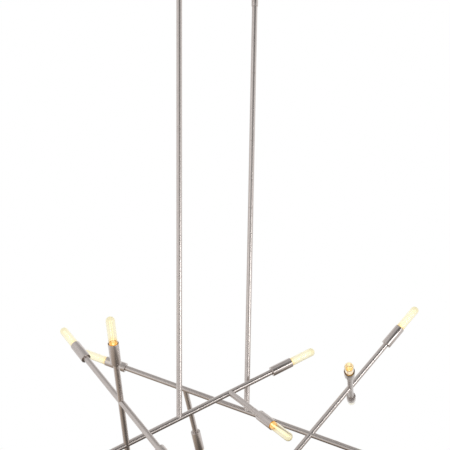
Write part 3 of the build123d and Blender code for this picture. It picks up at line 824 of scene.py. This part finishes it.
def make_finishes(scene):
    """Every finish of the light, by the record's slot, with those that only some pieces have."""
    grain_group()
    finishes, cups, bulbs = scene.chandelier_finishes, scene.chandelier_cups, scene.chandelier_bulbs
    nickel, satin = tuple(finishes.nickel), finishes.nickel_roughness
    zinc, green, brass = tuple(finishes.zinc), tuple(finishes.green), tuple(finishes.brass)
    return {
        "nickel": metal("satin_nickel", nickel, satin, grain=0.6, tarnish=0.5),
        "nickel_cup": cup_metal_with_painted_shade("satin_nickel_cup", nickel, satin, tuple(finishes.cup_inside_shade), cups),
        "zinc_steel": metal("zinc_plate", zinc, roughness=0.36, grain=0.4, tarnish=0.9, own=False),
        "zinc_turned": metal("zinc_turned", zinc, roughness=0.34, grain=0.4, tarnish=0.9),
        "green_screw": metal("green_dye", green, roughness=0.42, grain=0.4, tarnish=0.6, own=False),
        "cap_brass": metal("cap_brass", brass, roughness=0.30, grain=0.5, tarnish=0.8, own=False),
        "phenolic": moulded("phenolic", tuple(finishes.phenolic), roughness=0.55),
        "bulb_glass": lit_glass("bulb_glass", finishes, cups.length, bulbs.base + bulbs.length),
        "filament": lit_strip("lit_filament", tuple(finishes.filament), tuple(finishes.filament_dots)),
    }


FINISHES = {}


def finish_of(slot):
    """The material of a slot; all are made when the first is asked for."""
    if not FINISHES:
        FINISHES.update(make_finishes(bpy.context.scene))
    return FINISHES[slot]


# ---------------------------------------------------------------- stems and tubes
def plain_tube(sizes, length, end_round=None):
    """A tube from 0 to its length up Z, with its outside edges bevelled where asked."""
    bore = sizes.radius - sizes.wall
    ends = [(end_round, 1)] if end_round else []
    return lathe([(sizes.radius, 0, *ends), (sizes.radius, length, *ends), (bore, length), (bore, 0)],
                 sizes.steps)


def placed_tube(sizes, line, first, last, first_carrier=None, last_carrier=None, end_round=None):
    """A tube on a centre line between two distances, coped at the ends that a carrier holds."""
    bm = stand_along(plain_tube(sizes, last - first, end_round), line.at(first), line.way)
    own = bm.verts.layers.float_vector[OWN_PLACE]
    middle = (last - first) / 2
    reach = sizes.radius + sizes.cope_gap
    if first_carrier:
        cope([v for v in bm.verts if v[own].z < middle], line.way, first_carrier, reach, 1)
    if last_carrier:
        cope([v for v in bm.verts if v[own].z >= middle], line.way, last_carrier, reach, -1)
    return bm


class CHANDELIER_OT_add_stems(bpy.types.Operator):
    """Add the rods of both stems, screwed end to end and coped on to their bars"""
    bl_idname = "chandelier.add_stems"
    bl_label = "Add Stems"
    bl_options = {"REGISTER", "UNDO"}

    def execute(self, context):
        sizes = context.scene.chandelier_tubes
        for side in SIDES:
            stem = stem_line(side)
            lengths = [sizes.long_rod] if side == "left" else [sizes.short_rod] * sizes.short_rods
            depth, rods = sizes.stem_top, []
            for length in lengths:
                rods.append(placed_tube(sizes, stem, depth + sizes.seam_gap, depth + length,
                                        end_round=sizes.rod_bevel))
                depth += length
            foot = placed_tube(sizes, stem, depth + sizes.seam_gap, stem.length,
                               last_carrier=tube_line(side, "bar"))
            if side == "left":
                finish_piece(joined(rods), "left_upper_rod")
                finish_piece(foot, "left_lower_rod")
            else:
                finish_piece(joined(rods + [foot]), "right_rods")
        return {"FINISHED"}


class CHANDELIER_OT_add_tubes(bpy.types.Operator):
    """Add the bars, branches and crossing arms, coped on to the tubes that carry them"""
    bl_idname = "chandelier.add_tubes"
    bl_label = "Add Tubes"
    bl_options = {"REGISTER", "UNDO"}

    def execute(self, context):
        sizes = context.scene.chandelier_tubes
        for side in SIDES:
            for tube, (start, _, carrier_name) in TUBES[side].items():
                line = tube_line(side, tube)
                end = line.length + sizes.insert
                if carrier_name is None:
                    shape = placed_tube(sizes, line, -sizes.insert, end)
                else:
                    carrier = tube_line(side, carrier_name)
                    place = (line.crossing(carrier) - line.start).length
                    shape = placed_tube(sizes, line, place, end, first_carrier=carrier)
                    if start:
                        upper = placed_tube(sizes, line, -sizes.insert, place, last_carrier=carrier)
                        shape = joined([upper, shape])
                finish_piece(shape, f"{side}_{tube}")
        return {"FINISHED"}


# ---------------------------------------------------------------- cups and bulbs
def cup_shape(sizes, tubes):
    """A cup up Z from its back, with its tube seat, wire hole, wall and floor."""
    bore = sizes.radius - sizes.wall
    seat = tubes.radius + sizes.seat_gap
    lip = (sizes.lip_round, LIP_STEPS)
    return lathe([
        (seat, 0),
        (sizes.radius, 0, (sizes.back_round, BACK_STEPS)),
        (sizes.radius, sizes.length, lip),
        (bore, sizes.length, lip),
        (bore, sizes.floor, lip),
        (sizes.wire_hole, sizes.floor),
        (sizes.wire_hole, tubes.insert),
        (seat, tubes.insert),
    ], sizes.steps)


class CHANDELIER_OT_add_cups(bpy.types.Operator):
    """Add the socket cup at every tube end"""
    bl_idname = "chandelier.add_cups"
    bl_label = "Add Cups"
    bl_options = {"REGISTER", "UNDO"}

    def execute(self, context):
        for lamp in LAMPS:
            line = lamp_line(lamp)
            cup = cup_shape(context.scene.chandelier_cups, context.scene.chandelier_tubes)
            finish_piece(stand_along(cup, line.start, line.way), f"cup_{lamp}", finish="nickel_cup")
        return {"FINISHED"}


def glass_shape(sizes):
    """The glass of a bulb up Z from its cup's back, with its wall."""
    base, tip = sizes.base, sizes.base + sizes.length
    neck_top = base + sizes.neck_height
    shells = []
    for inset in (0.0, sizes.wall):
        radius = sizes.radius - inset
        shells.append(lathe([
            (0.0, base + inset),
            (sizes.neck - inset, base + inset, GLASS_FOOT_ROUND),
            (sizes.neck - inset, neck_top, GLASS_SHOULDER_ROUND),
            (radius, neck_top + sizes.shoulder, GLASS_SHOULDER_ROUND),
            (radius, tip - inset, (radius - DOME_FLAT, DOME_STEPS)),
            (0.0, tip - inset),
        ], sizes.steps, closed=False))
    bmesh.ops.reverse_faces(shells[1], faces=shells[1].faces)
    return joined(shells)


class CHANDELIER_OT_add_bulbs(bpy.types.Operator):
    """Add the clear tubular glass of every bulb"""
    bl_idname = "chandelier.add_bulbs"
    bl_label = "Add Bulbs"
    bl_options = {"REGISTER", "UNDO"}

    def execute(self, context):
        for lamp in LAMPS:
            line = lamp_line(lamp)
            glass = stand_along(glass_shape(context.scene.chandelier_bulbs), line.start, line.way)
            finish_piece(glass, f"bulb_{lamp}", smooth=GLASS_SMOOTH_ANGLE)
        return {"FINISHED"}


def filament_wire(sizes, length):
    """A round wire up Z."""
    return lathe([(0, 0), (sizes.wire, 0), (sizes.wire, length), (0, length)], WIRE_STEPS, closed=False)


def filament_shape(sizes):
    """The mount, leads, two strips and bridge inside one bulb, up Z from its cup's back."""
    foot = sizes.base + sizes.wall + sizes.mount_gap
    top = foot + sizes.mount_height
    strips_foot = top + sizes.lead
    parts = [lathe([
        (0, foot),
        (sizes.mount, foot, MOUNT_ROUND),
        (sizes.mount_top, foot + sizes.mount_foot, MOUNT_ROUND),
        (sizes.mount_top, top, MOUNT_TOP_ROUND),
        (0, top),
    ], MOUNT_STEPS, closed=False)]
    for offset in both(sizes.strip_spread / 2):
        lead = filament_wire(sizes, sizes.lead + 2 * sizes.wire_sunk)
        moved(lead, offset, 0, top - sizes.wire_sunk)
        strip = bmesh.new()
        bmesh.ops.create_cube(strip, size=1.0)
        bmesh.ops.scale(strip, vec=(sizes.strip_thickness, sizes.strip, sizes.strip_length),
                        verts=strip.verts)
        rounded(strip, strip.edges[:], sizes.strip_thickness * STRIP_ROUND, STRIP_STEPS)
        moved(strip, offset, 0, strips_foot + sizes.strip_length / 2)
        parts += [lead, strip]
    bridge = filament_wire(sizes, sizes.strip_spread)
    turned(bridge, math.pi / 2, "Y")
    moved(bridge, -sizes.strip_spread / 2, 0, strips_foot + sizes.strip_length + sizes.bridge_gap)
    return joined(parts + [bridge])


class CHANDELIER_OT_add_filaments(bpy.types.Operator):
    """Add the lit filaments inside the bulbs"""
    bl_idname = "chandelier.add_filaments"
    bl_label = "Add Filaments"
    bl_options = {"REGISTER", "UNDO"}

    def execute(self, context):
        for side in SIDES:
            shapes = []
            for end in LAMP_ENDS:
                line = lamp_line(f"{side}_{end}")
                shape = filament_shape(context.scene.chandelier_bulbs)
                shapes.append(stand_along(shape, line.start, line.way))
            finish_piece(joined(shapes), f"{side}_filaments")
        return {"FINISHED"}


# ---------------------------------------------------------------- canopy
def canopy_shell(sizes, swivels):
    """The hollow canopy below the ceiling, with its holes for the hubs and the studs."""
    walls = []
    for inset in (0.0, sizes.wall):
        outline = rounded_outline(sizes.length - 2 * inset, sizes.width - 2 * inset, sizes.corner - inset)
        walls.append(sunk(outline, inset - sizes.depth, sizes.edge - inset))
    shell = joined(walls)
    fill_round(shell, 0.0, [])
    holes = [(x, 0, sizes.hub_hole) for x in both(swivels.place)]
    holes += [(x, 0, sizes.stud_hole) for x in both(sizes.stud_place)]
    bore_between(shell, -sizes.depth, sizes.wall - sizes.depth, holes)
    return brushed_flat(shell)


def mounting_strap(sizes, thread):
    """The strap below the ceiling, with holes for the wire, the box and ground screws, and the studs."""
    strap = sunk(rounded_outline(sizes.strap_length, sizes.strap_width, sizes.strap_corner),
                 -sizes.strap_thickness)
    holes = [(0, 0, sizes.wire_hole)]
    holes += [(x, 0, sizes.box_hole) for x in both(sizes.box_place)]
    holes += [(sizes.ground_place, 0, sizes.ground_hole)]
    holes += [(x, 0, thread) for x in both(sizes.stud_place)]
    bore_between(strap, -sizes.strap_thickness, 0.0, holes)
    return brushed_flat(strap)


def canopy_stud(sizes):
    """A stud below the ceiling, with the ridges of its thread."""
    corners = [(0, -sizes.stud_end)]
    for ridge in range(int(sizes.stud_end / sizes.stud_pitch)):
        low = -sizes.stud_end + ridge * sizes.stud_pitch
        corners += [(sizes.stud_root, low), (sizes.stud_radius, low + sizes.stud_pitch / 2)]
    return lathe(corners + [(sizes.stud_root, 0), (0, 0)], STUD_STEPS, closed=False)


def cap_nut(sizes, thread):
    """A cap nut from 0 down, with the blind bore for its stud."""
    nut = sunk(hexagon(sizes.nut_flats, 0.0, 0.0, hex_turn("cap_nuts")), -sizes.nut_height, sizes.nut_round)
    fill_round(nut, -sizes.nut_height, [])
    ring = fill_round(nut, 0.0, [(0, 0, thread)])[0]
    bore = bmesh.ops.extrude_edge_only(nut, edges=ring)["geom"]
    moved(nut, 0, 0, -sizes.nut_bore, verts_of(bore))
    fill_round(nut, -sizes.nut_bore, [])
    bmesh.ops.recalc_face_normals(nut, faces=nut.faces)
    return nut


class CHANDELIER_OT_add_canopy(bpy.types.Operator):
    """Add the canopy shell, the strap, the studs and the cap nuts"""
    bl_idname = "chandelier.add_canopy"
    bl_label = "Add Canopy"
    bl_options = {"REGISTER", "UNDO"}

    def execute(self, context):
        sizes, swivels = context.scene.chandelier_canopy, context.scene.chandelier_swivels
        thread = sizes.stud_radius + swivels.gap
        finish_piece(canopy_shell(sizes, swivels), "canopy_shell")
        finish_piece(mounting_strap(sizes, thread), "mounting_strap", finish="zinc_turned")
        studs, nuts = [], []
        for x in both(sizes.stud_place):
            studs.append(put_in_place(canopy_stud(sizes), Matrix.Translation((x, 0, 0))))
            nuts.append(put_in_place(cap_nut(sizes, thread), Matrix.Translation((x, 0, -sizes.depth))))
        finish_piece(joined(studs), "canopy_studs", finish="zinc_turned", smooth=THREAD_SMOOTH_ANGLE)
        finish_piece(joined(nuts), "cap_nuts")
        return {"FINISHED"}


# ---------------------------------------------------------------- swivels
def swivel_hub(sizes, underside):
    """A hub, with its flange under the canopy and its neck up through it."""
    inside = sizes.journal + sizes.gap
    return lathe([
        (inside, -sizes.flange_low, BROKEN),
        (sizes.flange_foot, -sizes.flange_low, FLANGE_ROUND),
        (sizes.flange, -underside, BROKEN),
        (sizes.neck, -underside),
        (sizes.neck, -sizes.neck_top, BROKEN),
        (inside, -sizes.neck_top, EASED),
    ], sizes.steps)


def lock_nut(sizes, x):
    """The lock nut of a hub's neck, where it stands."""
    nut = sunk(hexagon(sizes.nut_flats, x, -sizes.nut_top, hex_turn("hub_nuts")), -sizes.nut_low)
    bore_between(nut, -sizes.nut_low, -sizes.nut_top, [(x, 0, sizes.nut_hole)])
    return put_in_place(nut, Matrix.Identity(4))


def swivel_yoke(sizes, pin):
    """A yoke: the journal that turns in the hub, its keeper ring and disc, and two ears for the pin."""
    body = lathe([
        (sizes.wireway, -sizes.disc_low, BROKEN),
        (sizes.disc, -sizes.disc_low, DISC_ROUND),
        (sizes.disc, -sizes.disc_top, DISC_ROUND),
        (sizes.journal, -sizes.disc_top),
        (sizes.journal, -sizes.keeper_low),
        (sizes.keeper, -sizes.keeper_low, EASED),
        (sizes.keeper, -sizes.keeper_top, KEEPER_ROUND),
        (sizes.wireway, -sizes.keeper_top, EASED),
    ], sizes.steps)
    parts = [put_in_place(body, Matrix.Translation((pin.x, 0, 0)))]
    reach = sizes.pin_drop - sizes.disc_low + sizes.weld
    for middle in both(sizes.ear_inner + sizes.ear_thickness / 2):
        part = ear(sizes.ear_radius, reach, sizes.ear_thickness, sizes.pin_radius + sizes.gap, middle)
        parts.append(put_in_place(part, Matrix.Translation(pin)))
    return joined(parts)


def knuckle_pin(sizes):
    """A rivet up Z, with its head on top."""
    outer = sizes.ear_inner + sizes.ear_thickness
    return lathe([
        (0, -outer - sizes.pin_tail),
        (sizes.pin_radius, -outer - sizes.pin_tail, PIN_END_ROUND),
        (sizes.pin_radius, outer),
        (sizes.pin_head, outer, EASED),
        (sizes.pin_head, outer + sizes.pin_head_height, PIN_HEAD_ROUND),
        (0, outer + sizes.pin_head_height),
    ], PIN_STEPS, closed=False)


def stem_collar(sizes, pin, down):
    """The collar on top of a stem, with its wire holes and the tongue that swings on the knuckle pin."""
    web_foot = sizes.collar_top + sizes.collar_web
    collar = lathe([
        (sizes.collar_bore, -web_foot),
        (sizes.collar_bore, -sizes.collar_foot, BROKEN),
        (sizes.collar, -sizes.collar_foot, COLLAR_FOOT_ROUND),
        (sizes.collar, -sizes.collar_top, COLLAR_TOP_ROUND),
        (sizes.collar - sizes.collar_turned, -sizes.collar_top),
    ], sizes.steps, closed=False)
    wires = [(0, y, sizes.collar_wire) for y in both(sizes.collar_wire_place)]
    bore_between(collar, -web_foot, -sizes.collar_top, wires)
    tongue = ear(sizes.tongue_radius, sizes.collar_top + sizes.weld, sizes.tongue_thickness,
                 sizes.pin_radius + sizes.gap, 0.0)
    turned(tongue, math.pi, "Y")
    hanging = Matrix((BACK.cross(-down), BACK, -down)).transposed().to_4x4()
    return joined([put_in_place(part, Matrix.Translation(pin) @ hanging, down) for part in (collar, tongue)])


class CHANDELIER_OT_add_swivels(bpy.types.Operator):
    """Add the hubs with their lock nuts, and the yoke, pin and stem collar of each side"""
    bl_idname = "chandelier.add_swivels"
    bl_label = "Add Swivels"
    bl_options = {"REGISTER", "UNDO"}

    def execute(self, context):
        sizes = context.scene.chandelier_swivels
        underside = context.scene.chandelier_canopy.depth
        hubs = [put_in_place(swivel_hub(sizes, underside), Matrix.Translation((x, 0, 0)))
                for x in both(sizes.place)]
        finish_piece(joined(hubs), "swivel_hubs")
        nuts = [lock_nut(sizes, x) for x in both(sizes.place)]
        finish_piece(joined(nuts), "hub_nuts", finish="zinc_turned")
        for side in SIDES:
            pin = joint_place(f"{side}_swing")
            finish_piece(swivel_yoke(sizes, pin), f"{side}_swivel_yoke")
            finish_piece(stand_along(knuckle_pin(sizes), pin, -BACK), f"{side}_knuckle_pin")
            finish_piece(stem_collar(sizes, pin, stem_line(side).way), f"{side}_stem_collar")
        return {"FINISHED"}


# ---------------------------------------------------------------- pieces that keep their CAD shape
class CHANDELIER_OT_smooth_holders(bpy.types.Operator):
    """Add smooth copies of the lampholders and screw caps inside the cups"""
    bl_idname = "chandelier.smooth_holders"
    bl_label = "Smooth Lampholders"
    bl_options = {"REGISTER", "UNDO"}

    def execute(self, context):
        for side in SIDES:
            for node in (f"{side}_lampholders", f"{side}_lamp_caps"):
                bm = bmesh.new()
                bm.from_mesh(frame["nodes"][node].data)
                bmesh.ops.remove_doubles(bm, verts=bm.verts, dist=MERGE)
                bmesh.ops.dissolve_limit(bm, angle_limit=math.radians(FLAT_ANGLE), verts=bm.verts,
                                         edges=bm.edges)
                finish_piece(bm, node)
        return {"FINISHED"}


class CHANDELIER_OT_dress_nodes(bpy.types.Operator):
    """Give the carried-over CAD pieces their finishes"""
    bl_idname = "chandelier.dress_nodes"
    bl_label = "Dress CAD Pieces"
    bl_options = {"REGISTER", "UNDO"}

    def execute(self, context):
        for node, slot in SLOTS.items():
            if not frame["nodes"][node].hide_render:
                for place in frame["nodes"][node].material_slots:
                    place.material = finish_of(slot)
        return {"FINISHED"}


# ---------------------------------------------------------------- studio
# plain walls that the metal mirrors: a low and a high cosine of the angle to straight up, and their levels
WALL_LEVEL = (-0.2, 0.9, 0.60, 0.54)
# parts of the room that the metal mirrors: degrees to the right of the camera and above the level, as seen
# from the light, the half angles at which each starts and is whole, and its level
ROOM = (
    (-95, 15, 70, 25, 0.80),    # pale wall on the left
    (95, 5, 45, 15, 0.98),      # white wall on the right
    (180, 5, 55, 30, 1.05),     # white wall behind the light
    (22, 27, 38, 13, 0.15),     # dark ceiling over the camera
)
# how the metal mirrors the floor: its level falls along X, and further out it is pale
FLOOR_DARKENS = (-1.4, 0.2, 0.48, 0.06)
FLOOR_PALES = (2.4, 4.2)
FLOOR_FAR_LEVEL = 0.9
FLOOR_NEAR_TINT = (1.0, 0.84, 0.68)
# how the camera sees the floor: nearly white under the light, and white further out
FLOOR_WHITENS = (2.4, 4.5, 0.93, 1.0)
FLOOR_SHADES = ((0.86, 0.86, 0.86), (0.90, 0.90, 0.90))
FLOOR_ROUGHNESS = 0.9
FLOOR_SQUARES = 8
WHITE = (1.0, 1.0, 1.0)
SENSOR_WIDTH = 36.0
# name, place, width and height, and power of each softbox, and where both are aimed
SOFTBOXES = (
    ("low_softbox", (0.62, -1.75, -0.90), (0.8, 0.40), 4.8),
    ("side_softbox", (-2.9, -0.9, -0.4), (1.6, 2.2), 5.0),
)
SOFTBOX_AIM = (0, 0, -0.8)


def studio_world(scene, studio):
    """White for camera and transmission rays, a soft room for reflections, a plain level otherwise."""
    world = bpy.data.worlds.new("studio")
    scene.world = world
    world.use_nodes = True
    tree = world.node_tree
    tree.nodes.clear()
    turn = studio.camera_turn
    ahead = Vector((-math.sin(turn), math.cos(turn), 0))
    right = Vector((math.cos(turn), math.sin(turn), 0))
    direction = tree.nodes.new("ShaderNodeTexCoord").outputs["Generated"]

    def towards(way):
        """Cosine of the angle between the ray and a direction."""
        node = tree.nodes.new("ShaderNodeVectorMath")
        node.operation = "DOT_PRODUCT"
        return fed(tree, node, {0: direction, 1: way.normalized()}).outputs["Value"]

    def background(strength):
        """A white background of a strength."""
        node = tree.nodes.new("ShaderNodeBackground")
        return fed(tree, node, {"Color": (*WHITE, 1), "Strength": strength}).outputs[0]

    level = ranged(tree, towards(UP), *WALL_LEVEL)
    for side, lift, starts, whole, value in ROOM:
        side, lift, starts, whole = (math.radians(angle) for angle in (side, lift, starts, whole))
        way = (right * math.sin(side) - ahead * math.cos(side)) * math.cos(lift) + UP * math.sin(lift)
        inside = ranged(tree, towards(way), math.cos(starts), math.cos(whole), 0.0, 1.0)
        level = maths(tree, "MULTIPLY_ADD", maths(tree, "SUBTRACT", value, level), inside, level)

    rays = tree.nodes.new("ShaderNodeLightPath").outputs
    lighting = shader_mix(tree, rays["Is Glossy Ray"], background(studio.ambient), background(level))
    seen = maths(tree, "MAXIMUM", rays["Is Camera Ray"], rays["Is Transmission Ray"])
    output = tree.nodes.new("ShaderNodeOutputWorld")
    link(tree, shader_mix(tree, seen, lighting, background(1.0)), output.inputs[0])


def floor_material():
    """Pale floor that is white to the camera, still keeps a trace of shadow, and is clear from below."""
    material, tree, shader = new_material("studio_floor")
    vector = place_vector(tree, False)
    shade = colour_mix(tree, noise(tree, vector, 2.0, 3), *FLOOR_SHADES)
    fed(tree, shader, {"Base Color": shade, "Roughness": FLOOR_ROUGHNESS})
    distance = tree.nodes.new("ShaderNodeVectorMath")
    distance.operation = "LENGTH"
    distance = fed(tree, distance, {0: vector}).outputs["Value"]
    rays = tree.nodes.new("ShaderNodeLightPath").outputs
    glossy = rays["Is Glossy Ray"]
    near = ranged(tree, parts_of(tree, vector)["X"], *FLOOR_DARKENS)
    outward = ranged(tree, distance, *FLOOR_PALES, 0.0, 1.0)
    mirrored = maths(tree, "MULTIPLY_ADD", maths(tree, "SUBTRACT", FLOOR_FAR_LEVEL, near), outward, near)
    strength = maths(tree, "MULTIPLY_ADD", maths(tree, "SUBTRACT", mirrored, 1.0), glossy, 1.0)
    plain = maths(tree, "MAXIMUM", outward, maths(tree, "SUBTRACT", 1.0, glossy))
    glow = tree.nodes.new("ShaderNodeEmission")
    fed(tree, glow, {"Color": colour_mix(tree, plain, FLOOR_NEAR_TINT, WHITE), "Strength": strength})
    seen = maths(tree, "MAXIMUM", rays["Is Camera Ray"], rays["Is Transmission Ray"])
    seen = maths(tree, "MAXIMUM", seen, glossy)
    white = maths(tree, "MULTIPLY", seen, ranged(tree, distance, *FLOOR_WHITENS))
    above = shader_mix(tree, white, shader.outputs[0], glow.outputs[0])
    below = tree.nodes.new("ShaderNodeBsdfTransparent").outputs[0]
    from_below = tree.nodes.new("ShaderNodeNewGeometry").outputs["Backfacing"]
    link(tree, shader_mix(tree, from_below, above, below), tree.nodes["Material Output"].inputs[0])
    return material


def studio_object(scene, name, data):
    """Adds an object of some data to the scene and returns it."""
    thing = bpy.data.objects.new(name, data)
    scene.collection.objects.link(thing)
    return thing


def studio_camera(scene, studio):
    """The level camera of the photograph."""
    data = bpy.data.cameras.new("photo_camera")
    data.lens = studio.lens
    data.sensor_width = SENSOR_WIDTH
    camera = studio_object(scene, "photo_camera", data)
    camera.location = studio.camera_place
    camera.rotation_euler = (math.pi / 2, 0, studio.camera_turn)
    scene.camera = camera


def studio_floor(scene, studio):
    """The floor, which isn't part of the light."""
    bm = bmesh.new()
    bmesh.ops.create_grid(bm, x_segments=FLOOR_SQUARES, y_segments=FLOOR_SQUARES, size=studio.floor_size / 2)
    moved(bm, 0, 0, -studio.floor_drop)
    mesh = bpy.data.meshes.new("studio_floor")
    bm.to_mesh(mesh)
    bm.free()
    mesh.materials.append(floor_material())
    studio_object(scene, "studio_floor", mesh)


def softbox(scene, name, place, size, power):
    """A soft rectangular light that is aimed at the tubes."""
    data = bpy.data.lights.new(name, "AREA")
    data.shape = "RECTANGLE"
    data.size, data.size_y = size
    data.energy = power
    lamp = studio_object(scene, name, data)
    lamp.location = place
    aim = Vector(SOFTBOX_AIM) - Vector(place)
    lamp.rotation_euler = aim.to_track_quat("-Z", "Y").to_euler()


class CHANDELIER_OT_add_studio(bpy.types.Operator):
    """Add the camera, the pale floor and the soft studio light"""
    bl_idname = "chandelier.add_studio"
    bl_label = "Add Studio"
    bl_options = {"REGISTER", "UNDO"}

    def execute(self, context):
        scene = context.scene
        studio = scene.chandelier_studio
        scene.view_settings.view_transform = "Standard"
        studio_camera(scene, studio)
        studio_floor(scene, studio)
        studio_world(scene, studio)
        for name, place, size, power in SOFTBOXES:
            softbox(scene, name, place, size, power)
        return {"FINISHED"}


# ---------------------------------------------------------------- add-on
OPERATORS = (
    CHANDELIER_OT_add_studio,
    CHANDELIER_OT_add_stems,
    CHANDELIER_OT_add_tubes,
    CHANDELIER_OT_add_cups,
    CHANDELIER_OT_add_bulbs,
    CHANDELIER_OT_add_filaments,
    CHANDELIER_OT_add_canopy,
    CHANDELIER_OT_add_swivels,
    CHANDELIER_OT_smooth_holders,
    CHANDELIER_OT_dress_nodes,
)
GROUPS = {
    "chandelier_tubes": TubeSizes,
    "chandelier_cups": CupSizes,
    "chandelier_bulbs": BulbSizes,
    "chandelier_canopy": CanopySizes,
    "chandelier_swivels": SwivelSizes,
    "chandelier_finishes": Finishes,
    "chandelier_studio": StudioSettings,
}


class CHANDELIER_PT_panel(bpy.types.Panel):
    """Lists the steps that build the chandelier"""
    bl_label = "Sputnik Chandelier"
    bl_idname = "CHANDELIER_PT_panel"
    bl_space_type = "VIEW_3D"
    bl_region_type = "UI"
    bl_category = "Chandelier"

    def draw(self, context):
        for operator in OPERATORS:
            self.layout.operator(operator.bl_idname)


def register():
    for cls in (*GROUPS.values(), *OPERATORS, CHANDELIER_PT_panel):
        bpy.utils.register_class(cls)
    for name, group in GROUPS.items():
        setattr(bpy.types.Scene, name, PointerProperty(type=group))


def unregister():
    for name in GROUPS:
        delattr(bpy.types.Scene, name)
    for cls in reversed((*GROUPS.values(), *OPERATORS, CHANDELIER_PT_panel)):
        bpy.utils.unregister_class(cls)


def main():
    """Builds the whole light and its studio."""
    register()
    for operator in OPERATORS:
        group, name = operator.bl_idname.split(".")
        getattr(getattr(bpy.ops, group), name)()


if __name__ == "__main__":
    main()
